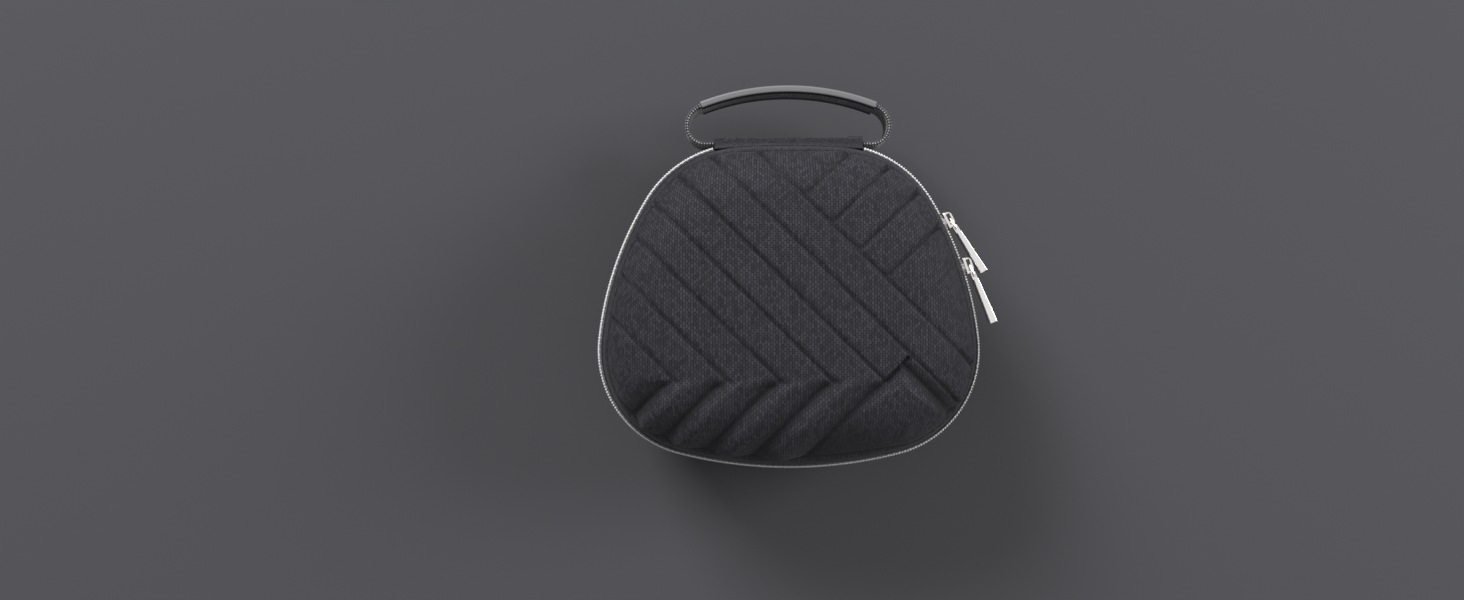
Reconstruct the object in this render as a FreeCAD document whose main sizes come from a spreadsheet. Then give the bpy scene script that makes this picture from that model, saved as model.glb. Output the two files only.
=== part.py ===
"""Hard carrying case for a game controller, lying on its base shell.

Frame: +Z is the case's thickness, +Y points to the hinge and the handle, +X to the side
where the zipper's sliders rest. The origin is the centre of the flat the base rests on.
All sizes are in millimetres, angles in degrees.
"""
import FreeCAD, Part
import math
import os
import re

V = FreeCAD.Vector
Placement = FreeCAD.Placement
Rotation = FreeCAD.Rotation
UP = V(0, 0, 1)

# Driving dimensions: alias, value, meaning
SIZES = [
    ("shell_width", 180.4, "outside of the shell walls, side to side"),
    ("shell_length", 151.9, "outside of the shell walls, front edge to hinge"),
    ("widest_y", -34.0, "where along the length the walls are widest"),
    ("back_radius", 500.0, "outline arc along the hinge edge"),
    ("shoulder_radius", 53.0, "outline arc from the hinge edge to a side"),
    ("side_radius", 162.0, "outline arc along a side"),
    ("corner_radius", 49.0, "outline arc from a side to the front edge"),
    ("front_radius", 213.0, "outline arc along the front edge"),
    ("wall", 2.6, "thickness of the moulded shells"),
    ("zip_plane", 46.0, "height of the zipper's centre line"),
    ("rim_gap", 4.0, "from the zipper's centre line to each shell's rim"),
    ("case_height", 87.0, "rest face to the top of the lid"),
    ("crown_radius", 450.0, "crown of the lid"),
    ("lid_straight", 7.0, "lid's height left of its edge round"),
    ("base_straight", 8.0, "base's wall above its edge round"),
    ("tape_thickness", 1.7, "zipper tape with the shell's rim seam"),
    ("tape_gap", 2.6, "from the zipper's centre line to each tape's edge"),
    ("base_tape_width", 4.9, "tape showing below the coil"),
    ("lid_tape_width", 7.9, "tape showing above the coil"),
    ("coil_gap", 0.5, "half the channel between the two coils"),
    ("coil_inner", 0.2, "from the wall's face to the coil's back"),
    ("coil_outer", 3.0, "from the wall's face to the coil's front"),
    ("binding_thickness", 1.0, "rim binding inside the shells"),
    ("binding_width", 7.6, "rim binding along the wall"),
    ("hinge_half", 36.0, "half the length of the hinge sleeve"),
    ("hinge_reach", 5.5, "from the hinge edge's wall to the sleeve's outer face"),
    ("hinge_clear", 0.3, "running gap at the hinge line"),
    ("sleeve_height", 24.4, "sleeve along the case's thickness"),
    ("sleeve_round", 2.2, "rounding of the sleeve's outer edges"),
    ("sleeve_drop", 0.3, "from the zipper's centre line down to the sleeve"),
    ("leaf_thickness", 1.6, "fabric leaf of the lid on the sleeve"),
    ("leaf_height", 10.2, "leaf sewn up the lid's wall"),
    ("end_tab_length", 6.5, "bar-tacked tab at each end of the sleeve"),
    ("end_tab_thickness", 0.8, "fabric of the end tabs"),
    ("webbing_width", 20.0, "handle webbing"),
    ("webbing_thickness", 2.0, "handle webbing"),
    ("webbing_clear", 0.1, "slack of the webbing in the sleeve"),
    ("webbing_stand", 2.5, "from the hinge edge's wall to the webbing's middle"),
    ("webbing_split", 39.8, "where the strap starts to swing, from the middle"),
    ("swing_clear", 0.3, "gap between the held and the swinging webbing"),
    ("lower_bend", 8.6, "webbing's bend beside the sleeve"),
    ("upper_bend", 10.8, "webbing's bend under the grip's end"),
    ("grip_radius", 118.2, "arch of the handle grip"),
    ("grip_turn", 21.0, "half the grip's arc"),
    ("grip_width", 24.0, "grip across"),
    ("grip_thickness", 3.6, "grip between its faces"),
    ("grip_round", 1.2, "rounding of the grip's long edges"),
    ("grip_lip", 2.4, "flange that turns in along each side under the grip"),
    ("slider_length", 9.0, "slider along the zipper"),
    ("slider_height", 8.6, "slider across the zipper"),
    ("slider_corner", 2.15, "rounding of the slider's front plate"),
    ("slider_plate", 1.1, "slider plate"),
    ("slider_clear", 0.4, "gap between the slider's plates and the coil"),
    ("slider_web", 0.6, "slider's wedge in the channel between the coils"),
    ("slider_web_length", 3.0, "slider's wedge along the zipper"),
    ("slider_step_in", 0.5, "slider's back plate, shorter at each end"),
    ("slider_lip_in", 1.0, "slider's lip, shorter at each end"),
    ("crown_width", 2.2, "slider's crown across the zipper"),
    ("crown_reach", 3.2, "slider's crown above its plate"),
    ("crown_in", 0.8, "slider's crown, shorter than its plate at each end"),
    ("crown_corner", 2.24, "rounding of the crown's outer corners"),
    ("crown_strip", 0.9, "metal of the crown"),
    ("upper_slider_share", 0.176, "upper slider's place along the side arc, from the hinge"),
    ("lower_slider_share", 0.504, "lower slider's place along the side arc, from the hinge"),
    ("pull_fan", 2.234, "how far the upper pull stands off where it passes the lower slider"),
    ("lower_pull_lean", 4.0, "lower pull's angle off the zipper line"),
    ("pull_wire", 0.6, "half the thickness of the pull link"),
    ("wire_round", 0.54, "rounding of the pull link's edges"),
    ("link_inside", 3.2, "inner width of the pull link"),
    ("link_length", 5.6, "pull link between its bars"),
    ("link_corner", 0.4, "inner corner of the pull link"),
    ("pull_clear", 0.1, "gap of the tab's eye round the link"),
    ("tab_length", 24.5, "pull tab"),
    ("tab_neck", 2.4, "tab's thickness at the link"),
    ("tab_end", 3.8, "tab's thickness at its flared end"),
    ("tab_width", 6.0, "tab's face"),
    ("tab_round", 0.5, "rounding of the tab's long edges"),
    ("tab_eye_metal", 0.81, "metal of the tab above its eye"),
    ("tab_shoulder", 1.9, "from the eye's middle to the full width of the tab"),
    ("cradle_gap", 0.4, "cradle and insert to the shell's inside"),
    ("cradle_drop", 11.0, "from the zipper's centre line down to the cradle's top"),
    ("cradle_floor", 20.0, "floor of the cradle's body well"),
    ("grip_well_floor", 14.0, "floor of the cradle's two grip wells"),
    ("body_well_side", 32.2, "from a side wall to the body well"),
    ("body_well_hinge", 25.95, "from the hinge edge's wall to the body well"),
    ("body_well_front", 17.0, "body well's edge ahead of the widest place"),
    ("body_well_round", 16.0, "body well's corners"),
    ("grip_well_radius", 17.0, "grip well's end round"),
    ("grip_well_side", 32.7, "from a side wall to the grip well's outer end"),
    ("grip_well_ahead", 4.0, "grip well's outer end ahead of the widest place"),
    ("grip_root_side", 38.2, "from a side wall to the grip well's root"),
    ("grip_root_hinge", 53.95, "from the hinge edge's wall to the grip well's root"),
    ("insert_depth", 14.5, "from the top of the lid to the insert's underside"),
    ("stick_relief", 7.5, "relief over a thumb stick"),
    ("stick_radius", 15.0, "round of the relief over a thumb stick"),
    ("pad_relief", 4.0, "relief over buttons and direction pad"),
    ("pad_radius", 15.0, "round of the relief over the direction pad"),
    ("face_radius", 19.5, "round of the relief over the four buttons"),
    ("button_relief", 2.5, "relief over the small buttons"),
    ("button_radius", 6.6, "round of the relief over a small button"),
    ("line_depth", 0.9, "light arms of the chevrons"),
    ("line_near", 1.4, "light arms, lower side"),
    ("line_far", 2.8, "light arms, upper side"),
    ("pleat_depth", 1.7, "deep arms of the chevrons"),
    ("pleat_steep", 2.6, "deep arms, steep side"),
    ("pleat_gentle", 8.0, "deep arms, gentle side"),
    ("chevron_ahead", 3.0, "chevron points ahead of the widest place"),
    ("chevron_first", -55.0, "leftmost chevron point"),
    ("chevron_pitch", 25.2, "from one chevron's point to the next"),
    ("branch_pitch", 25.9, "pitch of the arms on the right shoulder"),
    ("branch_first", 20.3, "first of these arms, sideways"),
    ("peak_x", 54.0, "the point that turns down on both sides, sideways"),
    ("peak_y", -29.0, "the same point, lengthwise"),
    ("arm_gap", 3.5, "cloth left whole between the arms of one chevron"),
]

# Sizes that follow from these: alias, formula, meaning
DERIVED = [
    ("base_rim", "zip_plane - rim_gap", "base shell's rim"),
    ("lid_rim", "zip_plane + rim_gap", "lid shell's rim"),
    ("lid_edge", "case_height - lid_rim - lid_straight", "round from the lid's wall to its crown"),
    ("base_edge", "base_rim - base_straight", "round from the base's wall to its flat"),
    ("half_width", "shell_width / 2", "side wall"),
    ("back_wall", "shell_length / 2", "wall along the hinge edge"),
    ("hinge_y", "back_wall + hinge_reach", "hinge line"),
    ("strap_y", "back_wall + webbing_stand", "webbing's middle in the sleeve"),
    ("sleeve_top", "zip_plane - sleeve_drop", "sleeve's edge at the hinge line"),
    ("sleeve_low", "sleeve_top - sleeve_height", "sleeve's other edge"),
    ("strap_z", "sleeve_top - sleeve_height / 2", "webbing's middle height"),
    ("tape_low", "zip_plane - tape_gap", "base tape's edge"),
    ("tape_high", "zip_plane + tape_gap", "lid tape's edge"),
    ("coil_low", "zip_plane - coil_gap", "base coil's edge"),
    ("coil_high", "zip_plane + coil_gap", "lid coil's edge"),
    ("leaf_low", "zip_plane + hinge_clear", "leaf's lower face"),
    ("leaf_half", "hinge_half - hinge_clear", "half the leaf's length"),
    ("leaf_end", "hinge_y - hinge_clear", "leaf's folded edge"),
    ("fit_depth", "wall + cradle_gap", "shell's outside to the cradle and the insert"),
    ("cradle_top", "zip_plane - cradle_drop", "top of the cradle"),
    ("insert_plane", "case_height - insert_depth", "underside of the insert"),
    ("slider_face", "side_radius + coil_outer + slider_clear", "slider's front plate, inner face"),
    ("slider_front", "slider_face + slider_plate", "slider's front plate, outer face"),
    ("slider_back", "side_radius + coil_inner - slider_clear", "slider's back plate, outer face"),
    ("slider_lip", "side_radius + tape_thickness + slider_clear", "slider's lip, inner face"),
    ("crown_out", "slider_front + crown_reach", "outermost metal of the crown"),
    ("pull_pivot", "crown_out - crown_strip - pull_wire - pull_clear", "pull's turning line"),
]

doc = FreeCAD.newDocument("controller_case")
sheet = doc.addObject("Spreadsheet::Sheet", "Sizes")
rows = [(alias, str(value), meaning) for alias, value, meaning in SIZES]
rows += [(alias, "=" + formula, meaning) for alias, formula, meaning in DERIVED]
for row, (alias, content, meaning) in enumerate(rows, start=1):
    sheet.set("A%d" % row, alias)
    sheet.set("B%d" % row, content)
    sheet.set("C%d" % row, meaning)
    sheet.setAlias("B%d" % row, alias)
doc.recompute()


def size(alias):
    """Return the sheet's value for one alias."""
    return float(sheet.get(alias))


def bound(formula):
    """Return a formula of aliases as an expression on the sheet."""
    return re.sub(r"[a-z_]+", lambda found: "Sizes." + found.group(), formula)


# Plan geometry

def arc(centre, radius, first, last):
    """Return an arc that runs counter-clockwise between two angles."""
    circle = Part.Circle(centre, UP, radius)
    return Part.ArcOfCircle(circle, math.radians(first), math.radians(last))


def polyline(*points):
    """Return the lines that join plan points in turn."""
    spots = [V(x, y, 0) for x, y in points]
    return [Part.LineSegment(start, end) for start, end in zip(spots, spots[1:])]


def rectangle(left, low, right, high):
    """Return the four sides of a rectangle."""
    return polyline((left, low), (right, low), (right, high), (left, high), (left, low))


def rounded_rectangle(left, low, right, high, radius):
    """Return a rectangle's sides with rounded corners."""
    corners = [(right, high, 0), (left, high, 90), (left, low, 180), (right, low, 270)]
    geometry = []
    ends = []
    for x, y, turn in corners:
        inward_x = -radius if x == right else radius
        inward_y = -radius if y == high else radius
        geometry.append(arc(V(x + inward_x, y + inward_y, 0), radius, turn, turn + 90))
        ends.append((geometry[-1].StartPoint, geometry[-1].EndPoint))
    for (_, leaving), (arriving, _) in zip(ends, ends[1:] + ends[:1]):
        geometry.append(Part.LineSegment(leaving, arriving))
    return geometry


def mirrored(point):
    """Return the point on the other side of the centre line."""
    return V(-point.x, point.y, point.z)


# The outline: tangent arcs, the same for every ring of the case

def circle_crossing(centre_a, radius_a, centre_b, radius_b):
    """Return the right-hand crossing of two circles."""
    span = centre_b - centre_a
    along = (radius_a ** 2 - radius_b ** 2 + span.Length ** 2) / (2 * span.Length)
    off = math.sqrt(radius_a ** 2 - along ** 2)
    unit = V(span).normalize()
    side = V(-unit.y, unit.x, 0)
    middle = centre_a + unit * along
    return max((middle + side * off, middle - side * off), key=lambda point: point.x)


def outline_chain():
    """Return (centre, radius, first angle, last angle) of the right-hand arcs from the back."""
    shoulder_r = size("shoulder_radius")
    corner_r = size("corner_radius")
    back = V(0, size("back_wall") - size("back_radius"), 0)
    side = V(size("half_width") - size("side_radius"), size("widest_y"), 0)
    front = V(0, size("front_radius") - size("back_wall"), 0)
    shoulder = circle_crossing(back, size("back_radius") - shoulder_r,
                               side, size("side_radius") - shoulder_r)
    corner = circle_crossing(front, size("front_radius") - corner_r,
                             side, size("side_radius") - corner_r)
    circles = [(back, size("back_radius")), (shoulder, shoulder_r),
               (side, size("side_radius")), (corner, corner_r), (front, size("front_radius"))]
    angles = [90.0]
    for (centre_a, radius_a), (centre_b, radius_b) in zip(circles, circles[1:]):
        span = centre_b - centre_a if radius_a > radius_b else centre_a - centre_b
        angles.append(math.degrees(math.atan2(span.y, span.x)))
    angles.append(-90.0)
    return [(centre, radius, low, high)
            for (centre, radius), high, low in zip(circles, angles, angles[1:])]


CHAIN = outline_chain()
side_centre, side_radius, side_low, side_high = CHAIN[2]


def outline(offset):
    """Return the closed outline's arcs, offset outwards from the wall's face."""
    back, flanks, front = CHAIN[0], CHAIN[1:4], CHAIN[4]
    arcs = [arc(back[0], back[1] + offset, back[2], 180 - back[2]),
            arc(front[0], front[1] + offset, -180 - front[3], front[3])]
    for centre, radius, low, high in flanks:
        arcs.append(arc(centre, radius + offset, low, high))
        arcs.append(arc(mirrored(centre), radius + offset, 180 - high, 180 - low))
    return arcs


# Features of a body

def new_body(label, place=Placement()):
    """Return an empty body at a place."""
    body = doc.addObject("PartDesign::Body", label)
    body.Label = label
    body.Placement = place
    return body


def origin_plane(body, role):
    """Return one of a body's own planes."""
    return [item for item in body.Origin.OriginFeatures if item.Role == role][0]


def sketch_on(body, geometry, lift, role):
    """Return a sketch on one of a body's planes, lifted by a formula."""
    sketch = body.newObject("Sketcher::SketchObject", body.Label + "_sketch")
    sketch.AttachmentSupport = [(origin_plane(body, role), "")]
    sketch.MapMode = "FlatFace"
    sketch.setExpression(".AttachmentOffset.Base.z", bound(lift))
    sketch.addGeometry(geometry, False)
    return sketch


def pad(body, geometry, low, high, role="XY_Plane"):
    """Add a pad between two heights, each a formula of named sizes."""
    sketch = sketch_on(body, geometry, low, role)
    feature = body.newObject("PartDesign::Pad", body.Label + "_pad")
    feature.Profile = sketch
    feature.setExpression("Length", bound("(%s) - (%s)" % (high, low)))
    doc.recompute()


def pocket(body, geometry, low, high, role="XY_Plane"):
    """Cut a pocket between two heights, each a formula of named sizes."""
    sketch = sketch_on(body, geometry, low, role)
    feature = body.newObject("PartDesign::Pocket", body.Label + "_pocket")
    feature.Profile = sketch
    feature.Reversed = True
    feature.setExpression("Length", bound("(%s) - (%s)" % (high, low)))
    doc.recompute()


def fillet(body, radius, wanted):
    """Round the edges that a test picks; the radius is a formula."""
    tip = body.Tip
    names = ["Edge%d" % number for number, edge in enumerate(tip.Shape.Edges, start=1)
             if wanted(edge)]
    feature = body.newObject("PartDesign::Fillet", body.Label + "_fillet")
    feature.Base = (tip, names)
    feature.setExpression("Radius", bound(radius))
    doc.recompute()


def boolean(kind, label, first, second):
    """Return a boolean of two bodies."""
    feature = doc.addObject("Part::" + kind, label)
    feature.Label = label
    feature.Base = first
    feature.Tool = second
    doc.recompute()
    return feature


def ring(body, outer, inner, low, high):
    """Add a band of the outline between two offsets."""
    pad(body, outline(outer) + outline(inner), low, high)


# The two moulded shells: a skin, less the same form set in by the wall

def inset(formula, depth):
    """Return a formula less a depth's alias."""
    return "%s - %s" % (formula, depth) if depth else formula


def domed(label, depth=""):
    """Return a lid-like body from its rim to its crown, set in by a depth."""
    body = new_body(label)
    step = size(depth) if depth else 0.0
    crown = size("crown_radius") - step
    top = size("case_height") - step
    reach = size("shell_width")
    lip = top - crown + math.sqrt(crown ** 2 - reach ** 2)
    above = size("case_height") * 2
    pad(body, outline(-step), "lid_rim", inset("case_height + lid_straight", depth))
    region = polyline((0, top), (0, above), (reach, above), (reach, lip))
    angle = math.degrees(math.asin(reach / crown))
    region.append(arc(V(0, top - crown, 0), crown, 90 - angle, 90))
    sketch = sketch_on(body, region, "0", "XZ_Plane")
    groove = body.newObject("PartDesign::Groove", label + "_crown")
    groove.Profile = sketch
    groove.ReferenceAxis = (sketch, ["V_Axis"])
    groove.Angle = 360
    doc.recompute()
    rim_zone = size("lid_rim") + size("wall")
    is_crown_edge = lambda edge: (edge.BoundBox.ZMin > rim_zone and not edge.Degenerated
                                  and edge.BoundBox.ZLength < size("lid_straight"))
    fillet(body, inset("lid_edge", depth), is_crown_edge)
    return body


def dished(label, rim, depth=""):
    """Return a base-like body from its flat floor to a rim, set in by a depth."""
    body = new_body(label)
    floor = size(depth) if depth else 0.0
    pad(body, outline(-floor), depth or "0", rim)
    is_floor_edge = lambda edge: edge.BoundBox.ZMax < floor + size("cradle_gap")
    fillet(body, inset("base_edge", depth), is_floor_edge)
    return body


# The chevron relief: V grooves that follow the lid's crown and run out on its shoulder

LINE = ("line_depth", "line_near", "line_far")
PLEAT = ("pleat_depth", "pleat_steep", "pleat_gentle")
SPILL = 1.3
crown_centre = V(0, 0, size("case_height") - size("crown_radius"))


def arm(body, start, end, cut):
    """Cut a V groove over the crown between two plan points, its wider side on the left."""
    depth, near, far = [size(alias) for alias in cut]
    direction = (end - start).normalize()
    across = UP.cross(direction)
    offset = (start - crown_centre).dot(across)
    skin = lambda x: math.sqrt(size("crown_radius") ** 2 - (offset + x) ** 2)
    centre = crown_centre + across * offset
    first, last = [math.asin((spot - centre).dot(direction) / skin(0)) for spot in (start, end)]
    normal = direction * math.sin(first) + UP * math.cos(first)
    above = depth * (SPILL - 1)
    far_point = (far * SPILL, skin(far * SPILL) + above)
    near_point = (-near * SPILL, skin(-near * SPILL) + above)
    bottom = (0, skin(0) - depth)
    sketch = body.newObject("Sketcher::SketchObject", body.Label + "_arm_sketch")
    sketch.Placement = Placement(centre, Rotation(across, normal, across.cross(normal), "XYZ"))
    sketch.addGeometry(polyline(bottom, far_point, near_point, bottom), False)
    feature = body.newObject("PartDesign::Groove", body.Label + "_arm")
    feature.Profile = sketch
    feature.ReferenceAxis = (sketch, ["H_Axis"])
    feature.Angle = math.degrees(last - first)
    doc.recompute()


def chevron_relief(body):
    """Cut the whole chevron pattern."""
    reach = size("shell_length")
    gap = size("arm_gap")
    pitch = V(size("chevron_pitch"), 0, 0)
    right_down = V(1, -1, 0).normalize()
    right_up = V(1, 1, 0).normalize()
    first = V(size("chevron_first"), size("widest_y") - size("chevron_ahead"), 0)
    points = [first + pitch * number for number in range(5)]
    peak = V(size("peak_x"), size("peak_y"), 0)
    # Each chevron's light arm comes down to the right to its point
    for point in points[:4]:
        arm(body, point - right_down * reach, point, LINE)
    arm(body, points[4] - right_down * reach, points[4] - right_down * gap * 3, LINE)
    # Its deep arm goes from below the point down to the left
    for point in points[:4]:
        foot = point - right_up * gap
        arm(body, foot - right_up * reach, foot, PLEAT)
    # The last point turns down on both sides
    arm(body, peak - right_up * reach, peak - right_up * gap, PLEAT)
    arm(body, peak + right_down * gap, peak + right_down * reach, PLEAT)
    # Two more light arms, the second right across the lid
    sixth = first + pitch * 5
    beside_peak = sixth + right_down * (peak - sixth).dot(right_down)
    arm(body, sixth - right_down * reach, beside_peak - right_down * gap * 2, LINE)
    seventh = first + pitch * 6
    arm(body, seventh - right_down * reach, seventh + right_down * reach, LINE)
    # Arms that branch from it over the right shoulder
    for number in range(3):
        x = size("branch_first") + number * size("branch_pitch") / 2
        fork = V(x, seventh.x + seventh.y - x, 0) + right_up * gap
        arm(body, fork, fork + right_up * reach, LINE)


lid_skin = domed("lid_skin")
chevron_relief(lid_skin)
lid_cavity = domed("lid_cavity", "wall")
lid_shell = boolean("Cut", "lid_shell", lid_skin, lid_cavity)
base_skin = dished("base_skin", "base_rim")
base_cavity = dished("base_cavity", "base_rim", "wall")
base_shell = boolean("Cut", "base_shell", base_skin, base_cavity)


# Zipper tapes and coils: open rings that stop at the hinge sleeve

def zip_ring(label, outer, inner, low, high):
    """Return a band of the outline that stops at the hinge sleeve."""
    body = new_body(label)
    ring(body, outer, inner, low, high)
    half = size("hinge_half") + size("hinge_clear")
    pocket(body, rectangle(-half, 0, half, size("shell_length")), low, high)


tape_out = size("tape_thickness")
zip_ring("base_zip_tape", tape_out, 0.0, "tape_low - base_tape_width", "tape_low")
zip_ring("lid_zip_tape", tape_out, 0.0, "tape_high", "tape_high + lid_tape_width")
zip_ring("base_zip_coil", size("coil_outer"), size("coil_inner"), "tape_low", "coil_low")
zip_ring("lid_zip_coil", size("coil_outer"), size("coil_inner"), "coil_high", "tape_high")


# Bindings over the sewn rims, inside the shells

inner_face = -size("wall")
binding_face = inner_face - size("binding_thickness")
base_binding = new_body("base_binding")
ring(base_binding, inner_face, binding_face, "tape_low - binding_width", "tape_low")
binding_band = new_body("binding_band")
ring(binding_band, inner_face, binding_face, "tape_high", "tape_high + binding_width")


# Cradle in the base: a tray with the controller's body well and two grip wells

def slot_shape(start, end, radius):
    """Return the outline of a slot between two plan points."""
    angle = math.degrees(math.atan2(end.y - start.y, end.x - start.x))
    ends = [arc(end, radius, angle - 90, angle + 90), arc(start, radius, angle + 90, angle + 270)]
    sides = [Part.LineSegment(ends[0].EndPoint, ends[1].StartPoint),
             Part.LineSegment(ends[1].EndPoint, ends[0].StartPoint)]
    return ends + sides


base_cradle = dished("base_cradle", "cradle_top", "fit_depth")
body_well_half = size("half_width") - size("body_well_side")
pocket(base_cradle, rounded_rectangle(-body_well_half, size("widest_y") + size("body_well_front"),
                                      body_well_half, size("back_wall") - size("body_well_hinge"),
                                      size("body_well_round")),
       "cradle_floor", "cradle_top")
for side in (-1, 1):
    root = V(side * (size("half_width") - size("grip_root_side")),
             size("back_wall") - size("grip_root_hinge"), 0)
    tip = V(side * (size("half_width") - size("grip_well_side")),
            size("widest_y") + size("grip_well_ahead"), 0)
    pocket(base_cradle, slot_shape(root, tip, size("grip_well_radius")),
           "grip_well_floor", "cradle_top")


# Insert in the lid: a pad with a relief over each stick and button

RELIEFS = [
    ("stick_radius", "stick_relief", [(-41.1, 27.1), (19.2, 5.3)]),
    ("pad_radius", "pad_relief", [(-21.9, 5.7)]),
    ("face_radius", "pad_relief", [(40.0, 27.1)]),
    ("button_radius", "button_relief",
     [(-18.0, 38.8), (-9.1, 27.1), (9.7, 27.1), (18.7, 38.8), (0.4, -6.0)]),
]

lid_insert = domed("lid_insert", "fit_depth")
margin = size("wall")
pocket(lid_insert, outline(margin), "lid_rim", "insert_plane")
for radius, relief, places in RELIEFS:
    for x, y in places:
        pocket(lid_insert, [Part.Circle(V(x, y, 0), UP, size(radius))],
               "insert_plane", "insert_plane + " + relief)


# Hinge: a sewn sleeve on the base, a leaf on the lid, a tab round each end of the sleeve

outer_y = size("hinge_y")
sleeve_top = size("sleeve_top")
sleeve_low = size("sleeve_low")
sleeve_r = size("sleeve_round")
round_y = outer_y - sleeve_r
root_y = size("back_wall") / 2


def sleeve_profile():
    """Return the sleeve's section along the case's thickness."""
    lines = polyline((round_y, sleeve_top), (root_y, sleeve_top), (root_y, sleeve_low),
                     (round_y, sleeve_low))
    lines += polyline((outer_y, sleeve_low + sleeve_r), (outer_y, sleeve_top - sleeve_r))
    return lines + [arc(V(round_y, sleeve_low + sleeve_r, 0), sleeve_r, -90, 0),
                    arc(V(round_y, sleeve_top - sleeve_r, 0), sleeve_r, 0, 90)]


def jacket_profile():
    """Return the section of a tab that wraps the sleeve's lower and outer sides."""
    cloth = size("end_tab_thickness")
    out = sleeve_r + cloth
    end_angle = math.degrees(math.asin(sleeve_r / out))
    end_y = round_y + out * math.cos(math.radians(end_angle))
    lines = polyline((end_y, sleeve_top), (round_y, sleeve_top))
    lines += polyline((outer_y, sleeve_top - sleeve_r), (outer_y, sleeve_low + sleeve_r))
    lines += polyline((round_y, sleeve_low), (root_y, sleeve_low), (root_y, sleeve_low - cloth),
                      (round_y, sleeve_low - cloth))
    lines += polyline((outer_y + cloth, sleeve_low + sleeve_r),
                      (outer_y + cloth, sleeve_top - sleeve_r))
    low_centre = V(round_y, sleeve_low + sleeve_r, 0)
    high_centre = V(round_y, sleeve_top - sleeve_r, 0)
    return lines + [arc(low_centre, sleeve_r, -90, 0), arc(high_centre, sleeve_r, 0, 90),
                    arc(low_centre, out, -90, 0), arc(high_centre, out, 0, end_angle)]


def clear_of_wall(body):
    """Cut away what lies inside the case's wall."""
    pocket(body, outline(0.0), "0", "case_height")


slot_y = size("webbing_thickness") / 2 + size("webbing_clear")
slot_z = size("webbing_width") / 2 + size("webbing_clear")
strap_y = size("strap_y")
strap_z = size("strap_z")
hinge_sleeve = new_body("hinge_sleeve")
pad(hinge_sleeve, sleeve_profile(), "-hinge_half", "hinge_half", "YZ_Plane")
clear_of_wall(hinge_sleeve)
pocket(hinge_sleeve, rectangle(strap_y - slot_y, strap_z - slot_z,
                               strap_y + slot_y, strap_z + slot_z),
       "-hinge_half", "hinge_half", "YZ_Plane")

lid_hinge_leaf = new_body("lid_hinge_leaf")
leaf_half = size("leaf_half")
pad(lid_hinge_leaf, rectangle(-leaf_half, 0, leaf_half, size("leaf_end")),
    "leaf_low", "leaf_low + leaf_height")
beyond = size("shell_width")
pocket(lid_hinge_leaf, rectangle(-beyond, -beyond, beyond, beyond) + outline(tape_out),
       "leaf_low + leaf_thickness", "leaf_low + leaf_height")
clear_of_wall(lid_hinge_leaf)

left_end_tab = new_body("left_end_tab")
pad(left_end_tab, jacket_profile(), "-hinge_half", "end_tab_length - hinge_half", "YZ_Plane")
clear_of_wall(left_end_tab)
right_end_tab = new_body("right_end_tab")
pad(right_end_tab, jacket_profile(), "hinge_half - end_tab_length", "hinge_half", "YZ_Plane")
clear_of_wall(right_end_tab)
lid_binding = boolean("Cut", "lid_binding", binding_band, lid_shell)


# Handle: flat webbing through the sleeve, an arched loop and a moulded grip

grip_turn = size("grip_turn")
rise = 90 - grip_turn
lower_bend = size("lower_bend")
upper_bend = size("upper_bend")
grip_radius = size("grip_radius")
bend_y = strap_y + lower_bend
grip_end_x = grip_radius * math.cos(math.radians(rise))
grip_end_y = bend_y + upper_bend * math.sin(math.radians(rise))
grip_centre = V(0, grip_end_y - grip_radius * math.sin(math.radians(rise)), 0)
loop_out = grip_end_x + upper_bend * (1 - math.cos(math.radians(rise)))
upper_centre = V(loop_out - upper_bend, bend_y, 0)
lower_centre = V(loop_out - lower_bend, bend_y, 0)


def strap_line(offset):
    """Return the swinging strap's line, offset outwards, from one foot to the other."""
    foot_x = size("webbing_split") + size("swing_clear")
    foot_y = strap_y - offset
    bend_x = lower_centre.x
    lower_r = lower_bend + offset
    upper_r = upper_bend + offset
    line = polyline((foot_x, foot_y), (bend_x, foot_y))
    line += polyline((-foot_x, foot_y), (-bend_x, foot_y))
    line += [arc(lower_centre, lower_r, -90, 0), arc(mirrored(lower_centre), lower_r, 180, 270),
             arc(upper_centre, upper_r, 0, rise),
             arc(mirrored(upper_centre), upper_r, 180 - rise, 180),
             arc(grip_centre, grip_radius + offset, rise, 180 - rise)]
    return line


half_webbing = size("webbing_thickness") / 2
foot_x = size("webbing_split") + size("swing_clear")
feet = []
for x in (foot_x, -foot_x):
    feet += polyline((x, strap_y - half_webbing), (x, strap_y + half_webbing))
handle_webbing = new_body("handle_webbing")
pad(handle_webbing, strap_line(half_webbing) + strap_line(-half_webbing) + feet,
    "strap_z - webbing_width / 2", "strap_z + webbing_width / 2")

held_webbing = doc.addObject("Part::Box", "held_webbing")
held_webbing.setExpression("Length", bound("webbing_split * 2"))
held_webbing.setExpression("Width", bound("webbing_thickness"))
held_webbing.setExpression("Height", bound("webbing_width"))
held_webbing.setExpression("Placement.Base.x", bound("-webbing_split"))
held_webbing.setExpression("Placement.Base.y", bound("strap_y - webbing_thickness / 2"))
held_webbing.setExpression("Placement.Base.z", bound("strap_z - webbing_width / 2"))


def grip_sector(inner, outer, spread):
    """Return a slab of the grip's arch, spread past its ends by an angle."""
    first = rise - spread
    last = 180 - first
    far = arc(grip_centre, grip_radius + outer, first, last)
    near = arc(grip_centre, grip_radius + inner, first, last)
    return [far, near, Part.LineSegment(near.StartPoint, far.StartPoint),
            Part.LineSegment(near.EndPoint, far.EndPoint)]


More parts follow.
